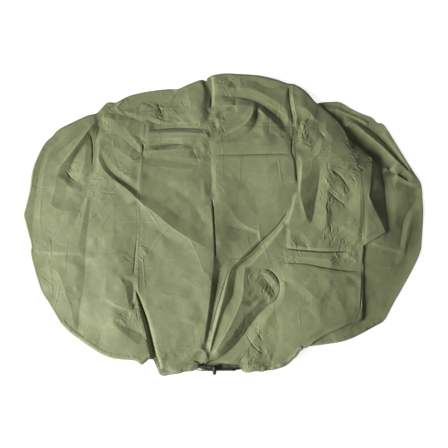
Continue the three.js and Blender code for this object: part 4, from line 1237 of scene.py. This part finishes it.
def cloth_material(name, colour, thread=0.0011, crinkle=1.0):
    """Coated polyester: a fine plain weave under a satin coat. Its colour carries painted highlight where the
    cloth stands over the cloth about it, and painted shade in its creases.
    """
    n = Nodes(name)
    deep = rgba(colour, 0.80)
    base = n.mix(n.spread(n.noise(7.0), 0.3, 0.7, 0.0, 1.0), deep, rgba(colour, 1.16))
    base = n.mix(0.5, base, rgba(colour))
    mottle = n.spread(n.noise(55.0, 4.0), 0.35, 0.65, 0.96, 1.04)
    base = n.mix(1.0, base, n.grey(mottle), "MULTIPLY")
    painted_fold_light = n.mark("painted_fold_light")
    # Painted highlight on points that stand over the cloth about them, then painted shade on points that lie
    # in the creases below it.
    base = n.mix(n.spread(painted_fold_light, 0.55, 1.0, 0.0, 0.45), base, rgba(colour, 1.5, 0.03))
    base = n.mix(n.spread(painted_fold_light, 0.45, 0.0, 0.0, 0.50), base, rgba(colour, 0.45))
    weave = n.weave(thread)
    base = n.mix(n.spread(weave, 0.0, 1.0, 0.16, 0.0), base, deep)
    rough = n.math("ADD", n.spread(n.noise(18.0), 0.3, 0.7, 0.40, 0.52), n.spread(weave, 0, 1, 0.06, 0.0))
    fine_rise = n.spread(n.mark("rumpled"), 0.0, 1.0, 0.0006 * crinkle, 0.0030 * crinkle)
    height = n.math("MULTIPLY", weave, thread * 0.10)
    height = n.math("ADD", height, n.math("MULTIPLY", n.noise(420.0, 2.0), 0.00006))
    for scale, rise in ((9.0, 0.0014 * crinkle), (24.0, 0.0009 * crinkle), (62.0, fine_rise)):
        height = n.math("ADD", height, n.math("MULTIPLY", n.creased(scale), rise))
    n.set(Base_Color=base, Roughness=rough, Normal=n.bump(height, 1.0, 1.0))
    n.set(Specular_IOR_Level=0.38, Sheen_Weight=0.12, Sheen_Roughness=0.4)
    return n.material


def plastic_material(name, colour, roughness):
    """Moulded plastic with a fine spark-eroded grain."""
    n = Nodes(name)
    base = n.mix(n.spread(n.noise(90.0), 0.35, 0.65, 0.0, 0.35), rgba(colour), rgba(colour, 1.7))
    rough = n.spread(n.noise(300.0), 0.3, 0.7, roughness - 0.06, roughness + 0.08)
    n.set(Base_Color=base, Roughness=rough, Normal=n.bump(n.noise(900.0, 2.0), 0.25, 0.0002))
    return n.material


def steel_material(name):
    """Drawn wire, a little uneven in its shine."""
    n = Nodes(name)
    dark, pale = rgba((0.42, 0.42, 0.41)), rgba((0.58, 0.58, 0.57))
    base = n.mix(n.spread(n.noise(200.0), 0.3, 0.7, 0.0, 1.0), dark, pale)
    n.set(Base_Color=base, Roughness=n.spread(n.noise(400.0), 0.3, 0.7, 0.26, 0.40), Metallic=1.0)
    return n.material


def cord_material(name, colour):
    """Braided polyester: strands slant both ways round the cord, as its mesh does."""
    n = Nodes(name)
    base = n.mix(n.spread(n.noise(600.0, 3.0), 0.35, 0.65, 0.0, 1.0), rgba(colour, 0.6), rgba(colour))
    rough = n.spread(n.noise(150.0), 0.3, 0.7, 0.55, 0.75)
    n.set(Base_Color=base, Roughness=rough, Normal=n.bump(n.noise(1400.0, 2.0), 0.4, 0.0002))
    return n.material


OLIVE = (0.190, 0.212, 0.108)
cloth = cloth_material("coated_polyester", OLIVE)
hem_cloth = cloth_material("hem_polyester", tuple(c * 0.97 for c in OLIVE), crinkle=1.4)
# A darker copy of the hem cloth: painted shade for the back hem, which lies in the shadow of the front's
# edge.
back_hem_painted_shade = cloth_material("inside_of_the_hem", tuple(c * 0.50 for c in OLIVE), crinkle=1.2)
tape_cloth = cloth_material("tape_polyester", tuple(c * 0.99 for c in OLIVE), thread=0.0016, crinkle=0.6)
thread_look = cord_material("sewing_thread", tuple(c * 0.95 for c in OLIVE))
cord_look = cord_material("braided_cord", (0.030, 0.032, 0.024))
lock_look = plastic_material("lock_plastic", (0.022, 0.024, 0.018), 0.42)
spring_look = steel_material("spring_steel")


# ---------------------------------------------------------------- pieces

def add_panel(name, parts, *nodes):
    """A cloth panel, shaded with the normals of the sheet it was cut from."""
    verts, faces, normals = merged(*parts)
    obj = add_piece(name, verts, faces, cloth, "cloth", "cover", *nodes)
    obj.data.normals_split_custom_set_from_vertices([tuple(n) for n in normals.tolist()])
    return obj


def add_piece(name, verts, faces, material, slot, body, *nodes):
    """A piece of the cover that rides a body and stands in for the model's nodes."""
    obj = new_object(name, verts, faces)
    obj.data.materials.append(material)
    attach(obj, body)
    if nodes:
        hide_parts(*nodes)
    return obj


def rumple_and_painted_fold_light_marks(obj):
    """Writes how rumpled each point is, and how far it stands over (1) or under (0) the cloth about it. The
    second sets the painted highlight on raised folds and the painted shade in sunk creases.
    """
    mesh = obj.data
    count = len(mesh.vertices)
    co = np.zeros(count * 3)
    mesh.vertices.foreach_get("co", co)
    co = co.reshape(-1, 3)
    z = co[:, 2]
    edges = np.zeros(len(mesh.edges) * 2, int)
    mesh.edges.foreach_get("vertices", edges)
    a, b = edges.reshape(-1, 2).T
    degree = np.maximum(np.bincount(a, minlength=count) + np.bincount(b, minlength=count), 1)
    even = z.copy()
    for _ in range(10):
        even = 0.3 * even + 0.7 * (np.bincount(a, even[b], count) + np.bincount(b, even[a], count)) / degree
    # The first mark sets the cloth's painted highlight on raised folds and its painted shade in creases.
    marks = {"painted_fold_light": np.clip(0.5 + (z - even) / 0.0022, 0, 1), "rumpled": rumple(co[:, :2])}
    for name, values in marks.items():
        attribute = mesh.attributes.new(name, "FLOAT", "POINT")
        attribute.data.foreach_set("value", values.astype(np.float32))


panels = {
    "front": add_panel("front_cloth", [upper_parts["front"]], "front_panel"),
    "back": add_panel("back_cloth", [lower_parts["back"]], "back_panel"),
    "left": add_panel("left_side_cloth", [upper_parts["left"], lower_parts["left"]], "left_side_panel"),
    "right": add_panel("right_side_cloth", [upper_parts["right"], lobe_parts["right"], lower_parts["right"]],
                       "right_side_panel"),
    "top": add_panel("top_cloth", [upper_parts["top"], lower_parts["top"], gusset()], "top_panel"),
}
for panel in panels.values():
    rumple_and_painted_fold_light_marks(panel)


def tree_of(*sheets):
    """A tree of the sheets' faces, for looking up their height."""
    verts, faces = merged(*[(sheet[0], face_tuples(sheet[1:])) for sheet in sheets])
    return BVHTree.FromPolygons(verts.tolist(), faces)


upper_tree = tree_of(front_sheet, lobe_sheet)
lower_tree = tree_of(low_sheet)


def surface_height(tree, xy):
    """The height of a sheet at each point of a line, carried over where the line leaves it."""
    result = []
    for x, y in xy.tolist():
        hit = tree.ray_cast(Vector((x, y, 1.0)), Vector((0, 0, -1)))[0]
        result.append(hit[2] if hit is not None else np.nan)
    z = np.array(result)
    known = ~np.isnan(z)
    return np.interp(np.arange(len(z)), np.flatnonzero(known), z[known]) if known.any() else np.zeros(len(z))


def draped_strip(line, width, tree, proud, across=7, pucker=0.0, seed=0, step=0.003, sink=0.0006):
    """A strip of tape or hem sewn along a line: raised in its middle, with its edges in the cloth."""
    centre = evenly(line[:, :2], step)
    side = leftwards(centre)
    rng = np.random.default_rng(seed)
    run = np.arange(len(centre)) * step
    periods = (0.011, 0.017, 0.029)
    wave = sum(np.sin(run * 2 * math.pi / period + rng.uniform(0, 6.28)) for period in periods) / 2
    half_width = width / 2 * (1 + 250 * pucker * wave)
    rows = []
    for t in np.linspace(-1, 1, across):
        xy = centre + side * (t * half_width)[:, None]
        lift = proud * (1 - abs(t) ** 6) - sink * abs(t) ** 6
        ripple = pucker * wave * (1 - 0.5 * abs(t)) * math.cos(1.2 * t)
        rows.append(np.column_stack([xy, surface_height(tree, xy) + lift + ripple]))
    verts = np.stack(rows, axis=1).reshape(-1, 3)
    return verts, turned_over(strip_faces(len(centre), across))


def stitches(line, tree, proud, length=0.0032, gap=0.0016, radius=0.00035):
    """A row of thread along a line on the cloth: one small rounded bar for each stitch."""
    centre = evenly(line[:, :2], length + gap)
    tangent = unit(np.gradient(centre, axis=0))
    z = surface_height(tree, centre) + proud
    slope = np.gradient(z) / (length + gap)
    verts, faces = [], []
    ring = [(math.cos(a), math.sin(a)) for a in np.linspace(0, 2 * math.pi, 6)[:-1]]
    for (x, y), (tx, ty), h, m in zip(centre, tangent, z, slope):
        start = len(verts)
        for at, size in ((-0.5, 0.35), (-0.3, 1.0), (0.3, 1.0), (0.5, 0.35)):
            for u, v in ring:
                off = at * length
                out, up = u * radius * size, v * radius * size
                verts.append((x + tx * off - ty * out, y + ty * off + tx * out, h + m * off + up))
        for r in range(3):
            for q in range(5):
                a = start + r * 5
                faces.append((a + q, a + (q + 1) % 5, a + 5 + (q + 1) % 5, a + 5 + q))
    return verts, faces


def inside_outline(line, loop, gap=0.010):
    """The longest stretch of the line that lies in the loop, further than gap from it."""
    distance, _a, _t = nearest_on(closed(loop)[::2], line)
    good = inside(loop, line) & (np.abs(distance) > gap)
    keep = np.flatnonzero(good)
    return line[keep[0]:keep[-1] + 1]


def add_tape(name, points, tree, loop, seed):
    """The tape over a seam, with a row of stitches along each side of it."""
    line = inside_outline(evenly(curve(points, 0.5), 0.3) * CM, loop)
    verts, faces = draped_strip(line, TAPE_WIDTH, tree, TAPE_RISE, seed=seed)
    tape = add_piece(name.replace("_seam_tape", "_tape"), verts, faces, tape_cloth, "tape", "cover", name)
    rumple_and_painted_fold_light_marks(tape)
    sides = (-STITCH_OFFSET, STITCH_OFFSET)
    rows = merged(*[stitches(shifted(line, off), tree, STITCH_RISE) for off in sides])
    thread = add_piece(name.replace("_seam_tape", "_stitches"), *rows, thread_look, "tape", "cover")
    return [tape, thread]


with_panel = {key: [] for key in panels}
TAPES = [
    ("front_left_seam_tape", LEFT_SEAM, upper_tree, front_loop, "front"),
    ("front_right_seam_tape", RIGHT_SEAM, upper_tree, front_loop, "front"),
    ("front_top_seam_tape", TOP_SEAM, upper_tree, front_loop, "front"),
    ("left_top_seam_tape", LEFT_CROSSING, upper_tree, front_loop, "left"),
    ("right_top_seam_tape", RIGHT_CROSSING, upper_tree, front_loop, "right"),
    ("back_left_seam_tape", LOWER_LEFT_SEAM, lower_tree, lower_loop, "back"),
    ("back_right_seam_tape", LOWER_RIGHT_SEAM, lower_tree, lower_loop, "back"),
    ("back_top_seam_tape", LOWER_TOP_SEAM, lower_tree, lower_loop, "back"),
]
for number, (node, points, tree, loop, owner) in enumerate(TAPES):
    with_panel[owner] += add_tape(node, points, tree, loop, 50 + number)


LEAST_HEIGHT = 0.0004  # the lowest that a hem may reach over the floor


def gathered_tube(line, width, height, seed, around=20, step=0.0028):
    """A casing drawn up by its cord: a flat tube along line (x, y, z) with ripples across it."""
    centre = evenly(line, step)
    side = leftwards(centre)
    run = np.arange(len(centre)) * step
    rng = np.random.default_rng(seed)
    periods = rng.uniform(0.017, 0.060, 6)
    phases = rng.uniform(0, 6.28, 6)
    verts = []
    for k in range(around):
        angle = 2 * math.pi * k / around
        c, w = math.cos(angle), math.sin(angle)
        ripple = sum(np.sin(2 * math.pi * run / p + f + 0.9 * math.sin(angle + f))
                     for p, f in zip(periods, phases))
        puffed = 1 + 0.13 * np.clip(ripple, -1.8, 1.8)
        flat = np.sign(c) * abs(c) ** 0.8
        xy = centre[:, :2] + side * (flat * width / 2 * (1 + 0.05 * ripple))[:, None]
        z = np.maximum(centre[:, 2] + w * height / 2 * puffed, LEAST_HEIGHT)
        verts.append(np.column_stack([xy, z]))
    return np.stack(verts, axis=1).reshape(-1, 3), tube_faces(len(centre), around)


def hem_line(points, inwards, left, right, height_of):
    """The stretch of a hem's line from left to right, moved inwards, with its height."""
    line = shifted(curve(points, 0.4) * CM, -inwards)
    line = line[(line[:, 0] > left) & (line[:, 0] < right)]
    return np.column_stack([line, height_of(line)])


def mouth_height(xy):
    """The casing lies under the cloth's edge, deepest where the opening is drawn up."""
    places = [-0.24, -0.12, -0.10, 0.06, 0.08, 0.28]
    depths = [0.003, 0.004, 0.0085, 0.0085, 0.004, 0.003]
    return np.maximum(front_height(xy) - np.interp(xy[:, 0], places, depths), 0.006)


front_hem_line = hem_line(FRONT_MOUTH, 0.008, -0.255, 0.284, mouth_height)
back_hem_line = hem_line(BACK_MOUTH, 0.010, -0.43, 0.284, level(0.0042))
left_hem_line = hem_line(FRONT_MOUTH, 0.0125, -0.60, MOUTH_LEFT, level(0))
right_hem_line = hem_line(RIGHT_MOUTH, 0.0125, 0.30, 0.572, level(0))
HEMS = {
    "front": (gathered_tube(front_hem_line, MOUTH_HEM_WIDTH, 0.0095, 61), hem_cloth),
    # The back hem wears the darker copy of the cloth, as painted shade.
    "back": (gathered_tube(back_hem_line, MOUTH_HEM_WIDTH, 0.0058, 62), back_hem_painted_shade),
    "left": (draped_strip(left_hem_line, 0.015, upper_tree, 0.0012, 9, 0.0005, 63), hem_cloth),
    "right": (draped_strip(right_hem_line, 0.014, upper_tree, 0.0012, 9, 0.0004, 64), hem_cloth),
}
for side, (mesh, material) in HEMS.items():
    hem = add_piece(side + "_hem", *mesh, material, "hem", "cover", side + "_hem_casing")
    rumple_and_painted_fold_light_marks(hem)
    with_panel[side].append(hem)

# ---------------------------------------------------------------- drawcord and cord lock

BARREL_MOUTH = 0.0105  # how far the barrel reaches below the lock's own middle
CORD_RADIUS = 0.00175
TAIL_Y = CORD_RADIUS + 0.0003  # the two tails lie side by side
KNOT_X = 0.066  # the knot lies this far right of the lock
KNOT_RADII = (0.0065, 0.0050, 0.0045)
HIDDEN_LEFT_OF, HIDDEN_RIGHT_OF = -0.15, -0.04  # where the front casing hides the cord
FINE_BRAID, COARSE_BRAID = (16, 0.0007), (8, 0.004)  # points round a cord, and the spacing of their rings
SLOT_HALF_WIDTH, SLOT_HALF_HEIGHT = 0.012, 0.0021  # the slot that the two tails run through
BUTTON_TRAVEL = 0.0038  # how far the button presses in, and a little more
SPRING_RADIUS = 0.0037
WIRE_RADIUS = 0.0004
SPRING_TURNS = 4

low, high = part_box("cord_lock_barrel")
lock_at = Vector(((low.x + high.x) / 2, low.y + BARREL_MOUTH, (low.z + high.z) / 2))

LEFT_TAIL = [
    (0.078, -TAIL_Y, 0), (0.034, -TAIL_Y, 0), (0, -TAIL_Y, 0), (-0.028, -TAIL_Y, 0), (-0.048, -TAIL_Y, 0.002),
    (-0.064, 0.003, 0.007), (-0.077, 0.012, 0.013), (-0.089, 0.021, 0.016), (-0.101, 0.028, 0.017),
]
RIGHT_TAIL = [
    (-0.017, 0.034, 0.017), (-0.027, 0.029, 0.017), (-0.034, 0.021, 0.016), (-0.037, 0.013, 0.010),
    (-0.033, 0.006, 0.004), (-0.024, TAIL_Y, 0.0015), (-0.014, TAIL_Y, 0), (0, TAIL_Y, 0), (0.034, TAIL_Y, 0),
    (0.078, TAIL_Y, 0),
]


def run_of(path):
    """How far along its path each point lies."""
    return np.concatenate([[0], np.cumsum(np.linalg.norm(np.diff(path, axis=0), axis=1))])


def braided_tube(points, around, step, strands=4, slant=520):
    """A braided cord along points: its strands stand out of it in two slants."""
    centre = curve(points, 0.0005)
    run = run_of(centre)
    at = np.linspace(0, run[-1], int(run[-1] / step) + 2)
    centre = np.stack([np.interp(at, run, centre[:, k]) for k in range(3)], axis=1)
    tangent = unit(np.gradient(centre, axis=0))
    side = unit(np.cross(tangent, (0, 0, 1)))
    top = np.cross(side, tangent)
    verts = []
    for k in range(around):
        angle = 2 * math.pi * k / around
        one = np.abs(np.sin(strands * angle / 2 + at * slant))
        other = np.abs(np.sin(strands * angle / 2 - at * slant))
        r = CORD_RADIUS * (0.90 + 0.10 * np.maximum(one, other))
        verts.append(centre + side * (r * math.cos(angle))[:, None] + top * (r * math.sin(angle))[:, None])
    verts = np.stack(verts, axis=1).reshape(-1, 3)
    return verts, turned_over(tube_faces(len(centre), around)), centre


def from_lock(points):
    """The places of points that are given from the lock's own middle."""
    return [lock_at + Vector(p) for p in points]


def add_cord(name, points, braid, *nodes):
    """A stretch of the drawcord, and its path."""
    verts, faces, centre = braided_tube(points, *braid)
    return add_piece(name, verts, faces, cord_look, "cord", "cover", *nodes), centre


left_tail, left_path = add_cord("drawcord_left_tail", from_lock(LEFT_TAIL), FINE_BRAID)
right_tail, right_path = add_cord("drawcord_right_tail", from_lock(RIGHT_TAIL), FINE_BRAID)
in_casing = front_hem_line - (0, 0, 0.002)
in_casing[:, 2] = np.maximum(in_casing[:, 2], 0.003)
hidden_left = in_casing[in_casing[:, 0] < HIDDEN_LEFT_OF]
hidden_right = in_casing[in_casing[:, 0] > HIDDEN_RIGHT_OF]
add_cord("drawcord_in_front_hem_left", hidden_left[::6], COARSE_BRAID, "drawcord")
add_cord("drawcord_in_front_hem_right", hidden_right[::6], COARSE_BRAID)
add_cord("drawcord_in_back_hem", back_hem_line[::6], COARSE_BRAID)


def knot_ball(centre, radii, columns=28, rows=18):
    """A knot: a lumpy ball with the turns of its cord standing out."""
    verts, faces = [(centre[0] - radii[0], centre[1], centre[2])], []
    for r in range(1, rows):
        polar = math.pi * r / rows
        for c in range(columns):
            angle = 2 * math.pi * c / columns
            wrap = 0.10 * abs(math.sin(2.5 * polar + angle + 0.7))
            k = 0.92 + wrap + 0.05 * math.sin(3 * angle + 2 * polar)
            verts.append((centre[0] - radii[0] * k * math.cos(polar),
                          centre[1] + radii[1] * k * math.sin(polar) * math.cos(angle),
                          centre[2] + radii[2] * k * math.sin(polar) * math.sin(angle)))
    verts.append((centre[0] + radii[0], centre[1], centre[2]))
    last = len(verts) - 1
    for c in range(columns):
        n = (c + 1) % columns
        faces.append((0, 1 + n, 1 + c))
        faces.append((last, last - columns + c, last - columns + n))
        for r in range(rows - 2):
            a = 1 + r * columns
            faces.append((a + c, a + n, a + columns + n, a + columns + c))
    return verts, faces


knot_at = lock_at + Vector((KNOT_X, 0, 0))
knot = add_piece("drawcord_knot", *knot_ball(knot_at, KNOT_RADII), cord_look, "cord", "cover")


def turned(profile, segments=56):
    """A round part along +Y from its profile (radius, y), about the lock's own middle."""
    turn = [2 * math.pi * k / segments for k in range(segments)]
    verts = from_lock([(r * math.cos(a), y, r * math.sin(a)) for r, y in profile for a in turn])
    return verts, tube_faces(len(profile), segments)


BARREL_PROFILE = [
    (0.0004, 0.0124), (0.0050, 0.0124), (0.0057, 0.0118), (0.0057, -0.0105), (0.0068, -0.0105),
    (0.0072, -0.0103), (0.0075, -0.0098), (0.0075, -0.0072), (0.0072, -0.0069), (0.0072, -0.0060),
    (0.0075, -0.0057), (0.0075, 0.0092), (0.0074, 0.0106), (0.0070, 0.0122), (0.0063, 0.0134),
    (0.0054, 0.0140), (0.0040, 0.0142), (0.0004, 0.0142),
]
barrel = add_piece("cord_lock_barrel_moulding", *turned(BARREL_PROFILE), lock_look, "lock_plastic",
                   "cord_lock", "cord_lock_barrel")


def cord_hole(obj, travel=0.0):
    """Cuts the slot that the two tails run through, longer by how far the piece travels along +Y."""
    corners = [(x, y, z) for x in (-SLOT_HALF_WIDTH, SLOT_HALF_WIDTH)
               for y in (-2 * TAIL_Y - travel, 2 * TAIL_Y) for z in (-SLOT_HALF_HEIGHT, SLOT_HALF_HEIGHT)]
    sides = [(0, 1, 3, 2), (4, 6, 7, 5), (0, 4, 5, 1), (2, 3, 7, 6), (0, 2, 6, 4), (1, 5, 7, 3)]
    cutter = new_object("cutter", from_lock(corners), sides, False)
    modifier = obj.modifiers.new("slot", "BOOLEAN")
    modifier.operation = "DIFFERENCE"
    modifier.object = cutter
    cut = bpy.data.meshes.new_from_object(obj.evaluated_get(bpy.context.evaluated_depsgraph_get()))
    obj.modifiers.clear()
    obj.data = cut
    bpy.data.objects.remove(cutter)


cord_hole(barrel)

HEAD_PROFILE = [
    (0.0004, 0.0001), (0.0042, 0), (0.0056, 0.0003), (0.0065, 0.0009), (0.0069, 0.0016), (0.0069, 0.0026),
    (0.0064, 0.0031), (0.0053, 0.0032),
]
STEM_PROFILE = [(0.0053, -0.0040), (0.0053, 0.0060), (0.0004, 0.0060)]
head_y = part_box("cord_lock_button")[0].y - lock_at.y
button_profile = [(r, head_y + y) for r, y in HEAD_PROFILE] + STEM_PROFILE
button = add_piece("cord_lock_button_moulding", *turned(button_profile), lock_look, "lock_plastic", "button",
                   "cord_lock_button")
cord_hole(button, BUTTON_TRAVEL)


def spring_coil(low_y, high_y, steps=36, around=8):
    """Wire wound about the lock's own middle line."""
    t = np.arange(SPRING_TURNS * steps + 1) / (SPRING_TURNS * steps)
    turn = 2 * math.pi * SPRING_TURNS * t
    out = np.column_stack([np.cos(turn), 0 * turn, np.sin(turn)])
    middle = np.array((lock_at.x, low_y + WIRE_RADIUS, lock_at.z))
    centre = middle + SPRING_RADIUS * out + np.outer(t, (0, high_y - low_y - 2 * WIRE_RADIUS, 0))
    third = np.cross(unit(np.gradient(centre, axis=0)), out)
    verts = np.stack([centre + WIRE_RADIUS * (out * math.cos(a) + third * math.sin(a))
                      for a in np.linspace(0, 2 * math.pi, around + 1)[:-1]], axis=1).reshape(-1, 3)
    return verts, tube_faces(len(centre), around)


coil_start, coil_end = (corner.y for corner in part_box("cord_lock_spring"))
coil = add_piece("cord_lock_coil", *spring_coil(coil_start, coil_end), spring_look, "spring_steel",
                 "cord_lock", "cord_lock_spring")
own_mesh(coil)

# ---------------------------------------------------------------- stage, light and camera

FLOOR_REACH = 40.0
FLOOR_GREY = 0.32  # dark enough not to throw much light back at the cloth
FLOOR_GLOW = 0.84  # and how much it glows, so that it looks pale and its shadows are faint
KEY_FROM = (-0.86, -0.15, 0.47)
KEY_WIDTH = math.radians(26)
KEY_LIGHT, KEY_SHINE = 3.55, 1.2
FILL_FROM = (0.25, 0.45, 1.0)
SIDE_LAMP_AT = (-2.3, -1.5, 1.7)
BACKDROP_GLOW = 1.0  # the pale backdrop behind the floor, as the camera sees it
ROOM_GLOW = 0.003  # and how much of it reaches the cloth
VIEW_WIDTH = 1.62176  # how much of the floor the picture takes in
COVER_MIDDLE = 0.03  # the height that this holds for
LENS = 60  # millimetres
SENSOR = 36


def stage():
    """A plain pale floor."""
    far = FLOOR_REACH
    corners = [(-far, -far, 0), (far, -far, 0), (far, far, 0), (-far, far, 0)]
    floor = new_object("floor", corners, [(0, 1, 2, 3)], False)
    n = Nodes("pale_floor")
    n.set(Base_Color=rgba((FLOOR_GREY,) * 3), Roughness=0.9, Emission_Color=rgba((1, 1, 1)),
          Emission_Strength=FLOOR_GLOW)
    floor.data.materials.append(n.material)


def add_light(name, kind, towards, at=(0, 0, 0), **settings):
    """A light that shines from the direction towards, or from its own place."""
    light = bpy.data.lights.new(name, kind)
    for key, value in settings.items():
        setattr(light, key, value)
    obj = bpy.data.objects.new(name, light)
    obj.location = at
    obj.rotation_euler = Vector(towards).to_track_quat("Z", "Y").to_euler()
    bpy.context.scene.collection.objects.link(obj)
    return obj


def studio():
    """The key light from the left comes in two parts: most of it gives no shine, so low views don't glare."""
    key = add_light("key", "SUN", KEY_FROM, angle=KEY_WIDTH, energy=KEY_LIGHT)
    key.visible_glossy = False
    add_light("key_shine", "SUN", KEY_FROM, angle=KEY_WIDTH, energy=KEY_SHINE)
    add_light("side", "AREA", SIDE_LAMP_AT, at=SIDE_LAMP_AT, size=1.2, energy=70)
    add_light("fill", "SUN", FILL_FROM, angle=math.radians(60), energy=0.35)


def backdrop():
    """A pale room that the camera sees behind the floor, with next to none of its light on the cover."""
    world = bpy.data.worlds.new("studio")
    world.use_nodes = True
    tree = world.node_tree
    background = tree.nodes["Background"]
    background.inputs["Color"].default_value = rgba((1, 1, 1))
    rays = tree.nodes.new("ShaderNodeLightPath")
    glow = tree.nodes.new("ShaderNodeMapRange")
    tree.links.new(rays.outputs["Is Camera Ray"], glow.inputs["Value"])
    glow.inputs["To Min"].default_value = ROOM_GLOW
    glow.inputs["To Max"].default_value = BACKDROP_GLOW
    tree.links.new(glow.outputs["Result"], background.inputs["Strength"])
    bpy.context.scene.world = world
    bpy.context.scene.view_settings.view_transform = "Standard"


def camera():
    """A camera straight above the cover."""
    data = bpy.data.cameras.new("camera")
    data.lens = LENS
    data.sensor_width = SENSOR
    view = bpy.data.objects.new("camera", data)
    view.location = (0, 0, COVER_MIDDLE + VIEW_WIDTH * LENS / SENSOR)
    bpy.context.scene.collection.objects.link(view)
    bpy.context.scene.camera = view


stage()
studio()
backdrop()
camera()
print("scene: pieces ready", flush=True)
